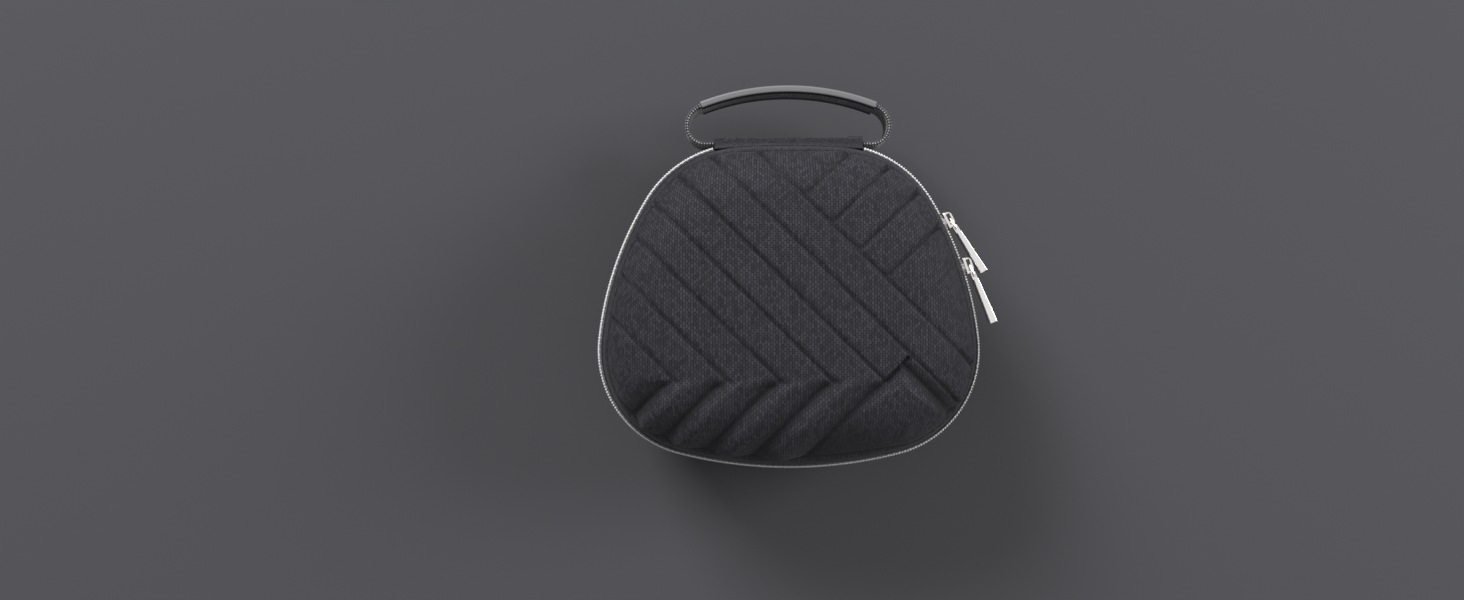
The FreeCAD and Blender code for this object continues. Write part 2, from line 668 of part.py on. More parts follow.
grip_half = size("grip_thickness") / 2
CUT_SPREAD = 1.0
handle_grip = new_body("handle_grip")
pad(handle_grip, grip_sector(-grip_half, grip_half, 0.0),
    "strap_z - grip_width / 2", "strap_z + grip_width / 2")
fillet(handle_grip, "grip_round", lambda edge: (edge.Curve.TypeId == "Part::GeomCircle"
                                                and edge.BoundBox.ZLength < half_webbing))
pocket(handle_grip, grip_sector(-half_webbing, half_webbing, CUT_SPREAD),
       "strap_z - webbing_width / 2", "strap_z + webbing_width / 2")
pocket(handle_grip, grip_sector(-grip_half * 2, 0.0, CUT_SPREAD),
       "strap_z - webbing_width / 2 + grip_lip", "strap_z + webbing_width / 2 - grip_lip")


# Sliders and pulls, made at the angle where they rest on the side's arc

def at_side(angle):
    """Return the place of the side arc's centre, turned to an angle."""
    return Placement(side_centre + UP * size("zip_plane"), Rotation(UP, angle))


def slider(label, angle):
    """Add a slider: X outwards from the side arc's centre, Y along the zipper."""
    body = new_body(label, at_side(angle))
    half_l = size("slider_length") / 2
    half_h = size("slider_height") / 2
    web_l = size("slider_web_length") / 2
    web_h = size("slider_web") / 2
    pad(body, rounded_rectangle(-half_l, -half_h, half_l, half_h, size("slider_corner")),
        "slider_face", "slider_front", "YZ_Plane")
    pad(body, rectangle(-web_l, -web_h, web_l, web_h),
        "slider_back - slider_plate / 2", "slider_front - slider_plate / 2", "YZ_Plane")
    back_l = half_l - size("slider_step_in")
    back_h = size("rim_gap") - size("slider_clear")
    pad(body, rectangle(-back_l, -back_h, back_l, back_h),
        "slider_back - slider_plate", "slider_back", "YZ_Plane")
    lip_l = half_l - size("slider_lip_in")
    lip_h = size("tape_gap") + size("slider_clear")
    pad(body, rectangle(-lip_l, -half_h, lip_l, -lip_h),
        "slider_lip", "slider_front - slider_plate / 2", "YZ_Plane")
    crown_l = half_l - size("crown_in")
    root = size("slider_front") - size("slider_plate") / 2
    out = size("crown_out")
    corner = size("crown_corner")
    crown = polyline((out - corner, -crown_l), (root, -crown_l), (root, crown_l),
                     (out - corner, crown_l))
    crown += polyline((out, corner - crown_l), (out, crown_l - corner))
    crown += [arc(V(out - corner, corner - crown_l, 0), corner, -90, 0),
              arc(V(out - corner, crown_l - corner, 0), corner, 0, 90)]
    strip = size("crown_strip")
    eye = rectangle(size("slider_front"), strip - crown_l, out - strip, crown_l - strip)
    pad(body, crown + eye, "-crown_width / 2", "crown_width / 2")


def pull(name, angle, lean):
    """Add a pull's link and tab, hanging along -Y from the slider's crown."""
    place = at_side(angle) * Placement(V(size("pull_pivot"), 0, 0), Rotation(UP, lean))
    wire = size("pull_wire")
    inside = size("link_inside") / 2
    length = size("link_length")
    corner = size("link_corner")
    link = new_body(name + "_pull_link", place)
    outer = rounded_rectangle(-length - wire, -inside - wire * 2, wire, inside + wire * 2,
                              corner + wire * 2)
    inner = rounded_rectangle(wire - length, -inside, -wire, inside, corner)
    pad(link, outer + inner, "-pull_wire", "pull_wire", "YZ_Plane")
    fillet(link, "wire_round", lambda edge: edge.BoundBox.XLength < wire)
    tab = new_body(name + "_pull_tab", place)
    neck = size("tab_neck") / 2
    end = size("tab_end") / 2
    hole = wire + size("pull_clear")
    top = hole + size("tab_eye_metal") - length
    low = -length - size("tab_length")
    shoulder = -length - size("tab_shoulder")
    shoulder_half = neck + (end - neck) * (top - shoulder) / (top - low)
    pad(tab, polyline((-shoulder_half, shoulder), (-end, low), (end, low),
                      (shoulder_half, shoulder), (-shoulder_half, shoulder)),
        "-tab_width / 2", "tab_width / 2")
    fillet(tab, "tab_round", lambda edge: (edge.BoundBox.ZLength < wire
                                           and edge.BoundBox.YLength > wire))
    overlap = shoulder - hole
    pad(tab, polyline((-neck, top), (-neck, overlap), (neck, overlap), (neck, top), (-neck, top)),
        "pull_clear - link_inside / 2", "link_inside / 2 - pull_clear")
    pocket(tab, [Part.Circle(V(0, -length, 0), UP, hole)], "-tab_width", "tab_width")


side_span = side_high - side_low
upper_angle = side_high - size("upper_slider_share") * side_span
lower_angle = side_high - size("lower_slider_share") * side_span
slider_step = side_radius * math.radians(upper_angle - lower_angle)
upper_lean = math.degrees(math.atan(size("pull_fan") / slider_step))
slider("upper_slider", upper_angle)
pull("upper", upper_angle, upper_lean)
slider("lower_slider", lower_angle)
pull("lower", lower_angle, size("lower_pull_lean"))

NODES = ["base_shell", "base_zip_tape", "base_zip_coil", "base_cradle", "base_binding",
         "hinge_sleeve", "left_end_tab", "right_end_tab", "held_webbing",
         "lid_shell", "lid_zip_tape", "lid_zip_coil", "lid_insert", "lid_binding",
         "lid_hinge_leaf", "handle_webbing", "handle_grip",
         "upper_slider", "upper_pull_link", "upper_pull_tab",
         "lower_slider", "lower_pull_link", "lower_pull_tab"]

doc.recompute()
for item in doc.Objects:
    if "Invalid" in item.State or "Error" in item.State:
        raise RuntimeError("failed: %s %s" % (item.Label, item.State))
os.makedirs("parts", exist_ok=True)
for label in NODES:
    shape = doc.getObjectsByLabel(label)[0].Shape
    if shape.isNull() or not shape.isValid() or len(shape.Solids) != 1:
        raise RuntimeError("bad shape: " + label)
    shape.exportStep("parts/%s.step" % label)
    print(label, round(shape.Volume, 1))
for name, angle in (("upper", upper_angle), ("lower", lower_angle)):
    pivot = at_side(angle).multVec(V(size("pull_pivot"), 0, 0))
    print(name, "pull pivot", pivot, "slider angle", round(angle, 4))
print("side arc centre", side_centre, "span", side_low, side_high, "hinge", outer_y)
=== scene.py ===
"""The looks of a hard carrying case for a game controller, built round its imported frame."""
import logging
import math
from dataclasses import dataclass, field
from enum import Enum

import bpy
import numpy as np
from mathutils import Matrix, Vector


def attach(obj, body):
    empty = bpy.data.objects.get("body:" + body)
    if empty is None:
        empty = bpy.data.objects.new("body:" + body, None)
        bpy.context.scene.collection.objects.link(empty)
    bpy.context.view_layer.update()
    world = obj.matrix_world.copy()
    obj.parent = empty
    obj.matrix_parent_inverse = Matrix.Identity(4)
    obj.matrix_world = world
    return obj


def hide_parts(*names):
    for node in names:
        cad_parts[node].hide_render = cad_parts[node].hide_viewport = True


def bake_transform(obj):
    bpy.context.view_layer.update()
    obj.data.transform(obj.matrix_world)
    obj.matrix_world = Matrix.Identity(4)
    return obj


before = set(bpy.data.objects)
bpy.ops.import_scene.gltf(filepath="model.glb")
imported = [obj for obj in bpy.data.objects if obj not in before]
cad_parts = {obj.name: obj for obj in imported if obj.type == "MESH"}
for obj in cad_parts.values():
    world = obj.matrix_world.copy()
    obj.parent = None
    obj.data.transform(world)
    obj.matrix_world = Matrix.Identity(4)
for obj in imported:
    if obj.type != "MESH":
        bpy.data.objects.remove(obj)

Socket = bpy.types.NodeSocket
Material = bpy.types.Material
Piece = bpy.types.Object
Array = np.ndarray

LOG = logging.getLogger("case")
MM = 0.001
ROOT_2 = math.sqrt(2)

# The photograph: its frame and the case's place in it
PHOTO_WIDTH_PX = 1464
PHOTO_HEIGHT_PX = 600
MM_PER_PX = 0.485
CASE_CENTRE_PX = (788.5, 305.0)
CAMERA_REACH_MM = 650.0
CAMERA_PLACE_MM = ((PHOTO_WIDTH_PX / 2 - CASE_CENTRE_PX[0]) * MM_PER_PX,
                   (CASE_CENTRE_PX[1] - PHOTO_HEIGHT_PX / 2) * MM_PER_PX)
ZIP_PLANE_MM = 46.0
SENSOR_MM = 36.0

# Where the rows over the crown and over the floor meet, in plan
POLE = np.array([0.0, -8.0 * MM])

# How many points draw an arc of the outline, and how close points are merged
ARC_STEPS = 400
MERGE = 0.004 * MM

# How strongly weaves and grain show in the shading
WEAVE_STRENGTH = 0.9
GRAIN_STRENGTH = 0.7


# Finishes

class Finish(Enum):
    """The finishes that the case's pieces take."""

    SHELL = "shell"
    TAPE = "tape"
    COIL = "coil"
    LINING = "lining"
    BINDING = "binding"
    HINGE = "hinge"
    WEBBING = "webbing"
    GRIP = "grip"
    METAL = "metal"
    THREAD = "thread"


class Nodes:
    """A small builder of one material's node tree."""

    def __init__(self, name: str) -> None:
        """Start an empty material with its output and shader.

        Args:
            name: the material's name.
        """
        self.material = bpy.data.materials.new(name)
        self.material.use_nodes = True
        self.tree = self.material.node_tree
        self.shader = self.tree.nodes["Principled BSDF"]

    def add(self, kind: str, **values: object) -> bpy.types.Node:
        """Add a node and set its properties and inputs.

        Args:
            kind: the node's type name.
            **values: attributes, or inputs by their name with spaces as underscores.

        Returns:
            The new node.
        """
        node = self.tree.nodes.new(kind)
        for key, value in values.items():
            if hasattr(node, key):
                setattr(node, key, value)
            else:
                node.inputs[key.replace("_", " ")].default_value = value
        return node

    def feed(self, source: Socket, kind: str, **values: object) -> bpy.types.Node:
        """Add a node whose first input reads a socket.

        Args:
            source: the socket.
            kind: the node's type name.
            **values: as for add.

        Returns:
            The new node.
        """
        node = self.add(kind, **values)
        self.tree.links.new(source, node.inputs[0])
        return node

    def math(self, operation: str, first: object, second: object = None) -> Socket:
        """Add a math node.

        Args:
            operation: the operation's name.
            first: a socket or a number.
            second: a socket, a number or nothing.

        Returns:
            The node's result.
        """
        node = self.add("ShaderNodeMath", operation=operation)
        for index, value in enumerate((first, second)):
            if isinstance(value, Socket):
                self.tree.links.new(value, node.inputs[index])
            elif value is not None:
                node.inputs[index].default_value = value
        return node.outputs[0]

    def scaled(self, value: Socket, factor: float, base: object) -> Socket:
        """Return a value times a factor, added to a base number or socket."""
        return self.math("ADD", base, self.math("MULTIPLY", value, factor))

    def noise(self, place: Socket, scale: float, detail: float) -> Socket:
        """Return the value of a noise texture."""
        return self.feed(place, "ShaderNodeTexNoise", Scale=scale, Detail=detail).outputs["Fac"]

    def cloth(self) -> Socket:
        """Return the place on the piece's UV map, in metres of cloth."""
        return self.add("ShaderNodeUVMap", uv_map="UVMap").outputs["UV"]

    def ramp(self, value: Socket, stops: list) -> Socket:
        """Add a colour ramp.

        Args:
            value: the socket that drives it.
            stops: pairs of place and colour.

        Returns:
            The ramp's colour.
        """
        node = self.feed(value, "ShaderNodeValToRGB")
        elements = node.color_ramp.elements
        while len(elements) < len(stops):
            elements.new(1.0)
        for element, (place, colour) in zip(elements, stops):
            element.position = place
            element.color = (*colour, 1.0)
        return node.outputs["Color"]

    def bump(self, height: Socket, distance: float, strength: float) -> Socket:
        """Add a bump node.

        Args:
            height: the height that it reads.
            distance: the height of a step of one, in metres.
            strength: how much of it shows.

        Returns:
            The bumped normal.
        """
        node = self.add("ShaderNodeBump", Distance=distance, Strength=strength)
        self.tree.links.new(height, node.inputs["Height"])
        return node.outputs["Normal"]

    def finish(self, links: dict, **values: float) -> Material:
        """Wire and set the shader.

        Args:
            links: sockets by the name of the shader's input.
            **values: numbers by that name, with spaces as underscores.

        Returns:
            The material.
        """
        for label, source in links.items():
            self.tree.links.new(source, self.shader.inputs[label])
        for key, value in values.items():
            self.shader.inputs[key.replace("_", " ")].default_value = value
        return self.material


@dataclass(frozen=True)
class WovenCloth:
    """A charcoal cloth with short raised dashes along one thread, and painted shade where the
    piece's crease attribute marks a crease.
    """

    name: str
    dark: tuple
    light: tuple
    thread: float = 1.25 * MM
    dash: float = 2.1 * MM
    height: float = 0.2 * MM
    gap_share: float = 0.11
    fibre_scale: float = 2600.0
    drift_scale: float = 45.0
    # Painted shade: how much the crease attribute darkens the cloth's colour
    painted_crease_shade: float = 0.8
    roughness: float = 0.62

    def build(self) -> Material:
        """Return the cloth's material, woven on the piece's UV map."""
        nodes = Nodes(self.name)
        uv = nodes.cloth()
        turned = nodes.feed(uv, "ShaderNodeMapping", Rotation=(0, 0, math.pi / 2))
        weave = nodes.feed(turned.outputs["Vector"], "ShaderNodeTexBrick", offset=0.5,
                           Scale=1.0 / self.dash, Brick_Width=1.0,
                           Row_Height=self.thread / self.dash,
                           Mortar_Size=self.gap_share, Mortar_Smooth=0.9,
                           Color1=(0.35, 0.35, 0.35, 1), Color2=(1, 1, 1, 1), Mortar=(0, 0, 0, 1))
        fibre = nodes.noise(uv, self.fibre_scale, 3.0)
        drift = nodes.noise(uv, self.drift_scale, 2.0)
        level = nodes.math("MULTIPLY", weave.outputs["Color"], nodes.scaled(fibre, 0.7, 0.65))
        level = nodes.math("MULTIPLY", level, nodes.scaled(drift, 0.6, 0.7))
        # Painted shade: the colour is darkened where the crease attribute is set, in the relief's
        # creases and along the rim's crease
        crease = nodes.add("ShaderNodeAttribute", attribute_name="crease").outputs["Fac"]
        shown = nodes.math("SUBTRACT", 1.0, nodes.math("MULTIPLY", crease, self.painted_crease_shade))
        painted_shade_level = nodes.math("MULTIPLY", level, shown)
        return nodes.finish({"Base Color": nodes.ramp(painted_shade_level, [(0.0, self.dark), (1.0, self.light)]),
                             "Normal": nodes.bump(level, self.height, WEAVE_STRENGTH),
                             "Roughness": nodes.scaled(fibre, 0.15, self.roughness)},
                            Sheen_Weight=0.06, Sheen_Roughness=0.45, Specular_IOR_Level=0.2)


@dataclass(frozen=True)
class HerringboneTape:
    """A zipper tape woven in zigzag rows."""

    name: str = "herringbone_tape"
    dark: tuple = (0.004, 0.004, 0.006)
    light: tuple = (0.036, 0.035, 0.042)
    rib: float = 0.85 * MM
    row: float = 1.9 * MM
    height: float = 0.14 * MM
    fibre_scale: float = 3000.0

    def build(self) -> Material:
        """Return the tape's material, woven on the piece's UV map."""
        nodes = Nodes(self.name)
        uv = nodes.cloth()
        split = nodes.feed(uv, "ShaderNodeSeparateXYZ").outputs
        zigzag = nodes.math("PINGPONG", split["Y"], self.row)
        phase = nodes.math("MULTIPLY", nodes.math("ADD", split["X"], zigzag),
                           2 * math.pi / self.rib)
        ridge = nodes.scaled(nodes.math("SINE", phase), 0.5, 0.5)
        fibre = nodes.noise(uv, self.fibre_scale, 3.0)
        level = nodes.math("MULTIPLY", ridge, nodes.scaled(fibre, 0.8, 0.6))
        colour = nodes.ramp(level, [(0.0, self.dark), (1.0, self.light)])
        return nodes.finish({"Base Color": colour,
                             "Normal": nodes.bump(level, self.height, WEAVE_STRENGTH)},
                            Sheen_Weight=0.3, Roughness=0.7)


@dataclass(frozen=True)
class FleckedWebbing:
    """A dark strap whose diagonal weave shows light flecks."""

    name: str = "flecked_webbing"
    dark: tuple = (0.003, 0.003, 0.005)
    middle: tuple = (0.01, 0.01, 0.013)
    fleck: tuple = (0.42, 0.41, 0.43)
    rib: float = 2.7 * MM
    height: float = 0.3 * MM
    fibre_scale: float = 1500.0

    def build(self) -> Material:
        """Return the strap's material, woven on the piece's UV map."""
        nodes = Nodes(self.name)
        uv = nodes.cloth()
        split = nodes.feed(uv, "ShaderNodeSeparateXYZ").outputs
        waves = [nodes.math("SINE", nodes.math("MULTIPLY", nodes.math(way, split["X"], split["Y"]),
                                               2 * math.pi / self.rib))
                 for way in ("ADD", "SUBTRACT")]
        cross = nodes.math("MULTIPLY", *waves)
        fibre = nodes.noise(uv, self.fibre_scale, 3.0)
        level = nodes.scaled(fibre, 0.8, nodes.math("MULTIPLY", cross, 0.5))
        colour = nodes.ramp(level, [(0.3, self.dark), (0.6, self.middle), (0.72, self.fleck)])
        return nodes.finish({"Base Color": colour,
                             "Normal": nodes.bump(level, self.height, WEAVE_STRENGTH)},
                            Sheen_Weight=0.3, Roughness=0.75)


@dataclass(frozen=True)
class Speckled:
    """A plain finish with fine grain: cloth lining, binding, nylon, thread or metal."""

    name: str
    base: tuple
    spread: float
    grain: float
    height: float
    roughness: float
    metallic: float = 0.0
    sheen: float = 0.0

    def build(self) -> Material:
        """Return the material, its grain on object coordinates."""
        nodes = Nodes(self.name)
        place = nodes.add("ShaderNodeTexCoord").outputs["Object"]
        fine = nodes.noise(place, self.grain, 4.0)
        wide = nodes.noise(place, self.grain / 40.0, 3.0)
        level = nodes.scaled(wide, 0.4, nodes.math("MULTIPLY", fine, 0.6))
        low = tuple(channel * (1 - self.spread) for channel in self.base)
        high = tuple(min(1.0, channel * (1 + self.spread)) for channel in self.base)
        return nodes.finish({"Base Color": nodes.ramp(level, [(0.3, low), (0.7, high)]),
                             "Normal": nodes.bump(fine, self.height, GRAIN_STRENGTH),
                             "Roughness": nodes.scaled(wide, 0.1, self.roughness - 0.05)},
                            Metallic=self.metallic, Sheen_Weight=self.sheen)


@dataclass(frozen=True)
class PaintedLightGrip:
    """A moulded grip with painted light and shade: a painted highlight of grey over its back,
    painted shade of near black underneath.
    """

    name: str = "grip_rubber"
    # Painted light: back is the grey of the lit upper face, and the colour after it is painted
    # shade on the underside
    back: tuple = (0.17, 0.166, 0.176)
    painted_shade_beneath: tuple = (0.004, 0.004, 0.009)
    arch_y: float = -13.22 * MM
    split: float = 116.85 * MM
    sharpness: float = 2500.0
    grain: float = 900.0
    height: float = 0.03 * MM
    roughness: float = 0.42

    def build(self) -> Material:
        """Return the material, split by the distance from the arch's centre into the painted lit
        grey and the painted shade.
        """
        nodes = Nodes(self.name)
        place = nodes.add("ShaderNodeTexCoord").outputs["Object"]
        spot = place
        for operation, vector in (("SUBTRACT", (0.0, self.arch_y, 0.0)),
                                  ("MULTIPLY", (1.0, 1.0, 0.0))):
            step = nodes.feed(spot, "ShaderNodeVectorMath", operation=operation)
            step.inputs[1].default_value = vector
            spot = step.outputs["Vector"]
        reach = nodes.feed(spot, "ShaderNodeVectorMath", operation="LENGTH").outputs["Value"]
        # Painted light and shade: outside the split the grip takes the lit grey, inside it the
        # shaded near black
        share = nodes.scaled(nodes.math("SUBTRACT", reach, self.split), self.sharpness, 0.5)
        fine = nodes.noise(place, self.grain, 4.0)
        return nodes.finish({"Base Color": nodes.ramp(share, [(0.0, self.painted_shade_beneath),
                                                              (1.0, self.back)]),
                             "Normal": nodes.bump(fine, self.height, GRAIN_STRENGTH),
                             "Roughness": nodes.scaled(fine, 0.15, self.roughness)})


def build_finishes() -> dict:
    """Return every finish's material by its Finish."""
    recipes = {
        Finish.SHELL: WovenCloth("shell_cloth", (0.0015, 0.0015, 0.0025), (0.042, 0.04, 0.051)),
        Finish.TAPE: HerringboneTape(),
        Finish.COIL: Speckled("coil_nylon", (0.86, 0.86, 0.87), 0.04, 1500.0, 0.01 * MM, 0.42),
        Finish.LINING: Speckled("brushed_lining", (0.045, 0.045, 0.052), 0.45, 1400.0,
                                0.12 * MM, 0.9, sheen=0.5),
        Finish.BINDING: Speckled("binding_cloth", (0.025, 0.025, 0.029), 0.6, 1900.0,
                                 0.12 * MM, 0.8, sheen=0.1),
        Finish.HINGE: WovenCloth("hinge_cloth", (0.002, 0.002, 0.003), (0.05, 0.049, 0.058),
                                 0.75 * MM, 0.9 * MM, 0.16 * MM),
        Finish.WEBBING: FleckedWebbing(),
        Finish.GRIP: PaintedLightGrip(),
        Finish.METAL: Speckled("bright_nickel", (0.78, 0.765, 0.74), 0.04, 700.0,
                               0.004 * MM, 0.24, metallic=1.0),
        Finish.THREAD: Speckled("sewing_thread", (0.03, 0.03, 0.036), 0.4, 2500.0,
                                0.05 * MM, 0.6, sheen=0.2),
    }
    return {finish: recipe.build() for finish, recipe in recipes.items()}


# Mesh helpers

def deselect() -> None:
    """Deselect every object."""
    bpy.ops.object.select_all(action="DESELECT")


def make_active(piece: Piece) -> None:
    """Select one object alone and make it active.

    Args:
        piece: the object.
    """
    deselect()
    piece.select_set(True)
    bpy.context.view_layer.objects.active = piece


def edit_tidy(piece: Piece) -> None:
    """Merge a piece's doubles and turn its faces outward.

    Args:
        piece: the piece.
    """
    make_active(piece)
    bpy.ops.object.mode_set(mode="EDIT")
    bpy.ops.mesh.select_all(action="SELECT")
    bpy.ops.mesh.remove_doubles(threshold=MERGE)
    bpy.ops.mesh.dissolve_degenerate(threshold=MERGE)
    bpy.ops.mesh.normals_make_consistent(inside=False)
    bpy.ops.object.mode_set(mode="OBJECT")


def shade(piece: Piece, sharp: float) -> None:
    """Smooth a piece's shading below an edge angle in degrees."""
    make_active(piece)
    bpy.ops.object.shade_smooth_by_angle(angle=math.radians(sharp))


def grid_piece(name: str, points: Array, uv: Array, sharp: float, depth: Array = None) -> Piece:
    """Make a piece from rows of points, shaped from a primitive grid.

    Args:
        name: the piece's name.
        points: rows by columns by three, in metres.
        uv: rows by columns by two, in metres of cloth.
        sharp: the edge angle above which shading breaks, in degrees.
        depth: rows by columns, how deep a point lies in a crease, from 0 to 1, kept as the crease
            attribute that paints shade into the cloth's colour.

    Returns:
        The piece.
    """
    rows, columns = points.shape[:2]
    deselect()
    bpy.ops.mesh.primitive_grid_add(x_subdivisions=columns - 1, y_subdivisions=rows - 1, size=1)
    piece = bpy.context.object
    mesh = piece.data
    piece.name = mesh.name = name
    mesh.vertices.foreach_set("co", points.astype(np.float32).ravel())
    corner_vertex = np.empty(len(mesh.loops), np.int32)
    mesh.loops.foreach_get("vertex_index", corner_vertex)
    layer = mesh.uv_layers["UVMap"]
    layer.data.foreach_set("uv", uv.reshape(-1, 2)[corner_vertex].astype(np.float32).ravel())
    # The crease attribute carries painted shade: the cloth's material darkens its colour by it
    if depth is not None:
        crease = mesh.attributes.new("crease", "FLOAT", "POINT")
        crease.data.foreach_set("value", depth.astype(np.float32).ravel())
    mesh.update()
    edit_tidy(piece)
    shade(piece, sharp)
    return piece


def capped_piece(name: str, rows: Array, hub: Array, along: Array, around: Array,
                 sharp: float) -> Piece:
    """Make a swept band and close both of its ends with a middle point.

    Args:
        name: the piece's name.
        rows: corners by columns by three, the first corner again at the end.
        hub: the line of middle points, columns by three.
        along: each column's distance along the band.
        around: each corner's distance round the profile.
        sharp: the edge angle above which shading breaks, in degrees.

    Returns:
        The piece.
    """
    points = np.array([np.concatenate([hub[:1], row, hub[-1:]]) for row in rows])
    ends = np.r_[along[0], along, along[-1]]
    return grid_piece(name, points, np.array([with_column(ends, step) for step in around]), sharp)


def cover(piece: Piece, material: Material) -> None:
    """Give a piece one material alone and report it.

    Args:
        piece: the piece.
        material: its material.
    """
    piece.data.materials.clear()
    piece.data.materials.append(material)
    LOG.info("%s: %d faces", piece.name, len(piece.data.polygons))


def dress(piece: Piece, material: Material, body: str, replaces: tuple = ()) -> None:
    """Give a piece its material, its body and the nodes it stands for.

    Args:
        piece: the piece.
        material: its material.
        body: the CAD body it rides on.
        replaces: the CAD nodes it stands for.
    """
    cover(piece, material)
    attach(piece, body)
    if replaces:
        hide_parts(*replaces)


def rod_seed(sides: int, radius: float, length: float, bevel: float, squash: tuple = (1, 1, 1),
             turn: tuple = (0, 0, 0)) -> Piece:
    """Make a small rod with bevelled edges, to be repeated as a tooth or a stitch.

    Args:
        sides: how many sides it has.
        radius: its radius.
        length: its length.
        bevel: the width of its bevels.
        squash: what its sizes are multiplied by before the bevel.
        turn: how it is turned first.

    Returns:
        The rod.
    """
    deselect()
    bpy.ops.mesh.primitive_cylinder_add(vertices=sides, radius=radius, depth=length, rotation=turn)
    seed = bpy.context.object
    bpy.ops.object.transform_apply(location=False, rotation=True, scale=False)
    bpy.ops.object.mode_set(mode="EDIT")
    bpy.ops.mesh.select_all(action="SELECT")
    bpy.ops.transform.resize(value=squash)
    bpy.ops.mesh.bevel(offset=bevel, segments=1, affect="EDGES")
    bpy.ops.object.mode_set(mode="OBJECT")
    return seed


def scattered(name: str, seed: Piece, frames: list) -> Piece:
    """Copy a small seed mesh to many places and join the copies in one mesh.

    Args:
        name: the new piece's name.
        seed: the mesh that is repeated; it is removed afterwards.
        frames: a 4 by 4 array for each place.

    Returns:
        The piece.
    """
    base = np.array([(*vertex.co, 1.0) for vertex in seed.data.vertices])
    faces = [tuple(polygon.vertices) for polygon in seed.data.polygons]
    points = np.vstack([(base @ place.T)[:, :3] for place in frames])
    all_faces = [tuple(index + step * len(base) for index in face)
                 for step in range(len(frames)) for face in faces]
    made = bpy.data.meshes.new(name)
    made.from_pydata(points.tolist(), [], all_faces)
    made.update()
    piece = bpy.data.objects.new(name, made)
    bpy.context.collection.objects.link(piece)
    bpy.data.objects.remove(seed, do_unlink=True)
    shade(piece, 50.0)
    return piece


def smoothstep(value: Array) -> Array:
    """Return the smooth step of values held between 0 and 1."""
    held = np.clip(value, 0.0, 1.0)
    return held * held * (3 - 2 * held)


def distances(line: Array) -> Array:
    """Return the distance along a plane line at each of its points."""
    return np.r_[0.0, np.cumsum(np.hypot(*np.diff(line, axis=0).T))]


def with_column(values: Array, last: float) -> Array:
    """Return rows of values with one more column, the same in every row."""
    return np.c_[values, np.full(len(values), last)]


# The case's outline

@dataclass
class Outline:
    """The case's outline: tangent arcs, sized as the walls' outside, in metres."""

    width: float = 180.4 * MM
    length: float = 151.9 * MM
    widest_y: float = -34.0 * MM
    back: float = 500.0 * MM
    shoulder: float = 53.0 * MM
    side: float = 162.0 * MM
    corner: float = 49.0 * MM
    front: float = 213.0 * MM
    chain: list = field(default_factory=list)

    def __post_init__(self) -> None:
        """Work out the arcs' centres."""
        back = np.array([0.0, self.length / 2 - self.back])
        side = np.array([self.width / 2 - self.side, self.widest_y])
        front = np.array([0.0, self.front - self.length / 2])
        shoulder = self.crossing(back, self.back - self.shoulder, side, self.side - self.shoulder)
        corner = self.crossing(front, self.front - self.corner, side, self.side - self.corner)
        self.chain = [(back, self.back), (shoulder, self.shoulder), (side, self.side),
                      (corner, self.corner), (front, self.front)]

    @staticmethod
    def crossing(first: Array, first_radius: float, second: Array,
                 second_radius: float) -> Array:
        """Return the right-hand crossing of two circles.

        Args:
            first: one circle's centre.
            first_radius: its radius.
            second: the other circle's centre.
            second_radius: its radius.

        Returns:
            The crossing.
        """
        span = second - first
        distance = float(np.hypot(*span))
        along = (first_radius ** 2 - second_radius ** 2 + distance ** 2) / (2 * distance)
        off = math.sqrt(first_radius ** 2 - along ** 2)
        unit = span / distance
        normal = np.array([-unit[1], unit[0]])
        middle = first + unit * along
        return max((middle + normal * off, middle - normal * off), key=lambda spot: spot[0])

    def joints(self) -> list:
        """Return where the right-hand arcs meet, from the back to the front."""
        spots = [np.array([0.0, self.length / 2])]
        for (first, first_radius), (second, second_radius) in zip(self.chain, self.chain[1:]):
            unit = (second - first) / np.hypot(*(second - first))
            sign = 1 if first_radius > second_radius else -1
            spots.append(first + unit * sign * first_radius)
        spots.append(np.array([0.0, -self.length / 2]))
        return spots

    def sample(self, count: int, gap_half: float = 0.0) -> tuple:
        """Sample the outline clockwise from the middle of the back edge.

        Args:
            count: how many points; a closed line repeats its first point at the end.
            gap_half: half the width of a gap left at the back edge.

        Returns:
            Points, outward normals and distances along the line.
        """
        spots = self.joints()
        points, normals = [], []
        for (centre, radius), start, end in zip(self.chain, spots, spots[1:]):
            first, last = (math.atan2(*(spot - centre)[::-1]) for spot in (start, end))
            for angle in np.linspace(first, last, ARC_STEPS, endpoint=False):
                normals.append(np.array([math.cos(angle), math.sin(angle)]))
                points.append(centre + normals[-1] * radius)
        points.append(spots[-1])
        normals.append(np.array([0.0, -1.0]))
        points, normals = (np.vstack([half, half[-2::-1] * np.array([-1.0, 1.0])])
                           for half in (np.array(points), np.array(normals)))
        steps = distances(points)
        widest = int(points[:, 0].argmax())
        low = np.interp(gap_half, points[:widest, 0], steps[:widest]) if gap_half else 0.0
        places = np.linspace(low, steps[-1] - low, count)
        line, turned = (np.c_[np.interp(places, steps, values[:, 0]),
                              np.interp(places, steps, values[:, 1])]
                        for values in (points, normals))
        turned /= np.hypot(*turned.T)[:, None]
        return line, turned, places


# The chevron relief of the lid

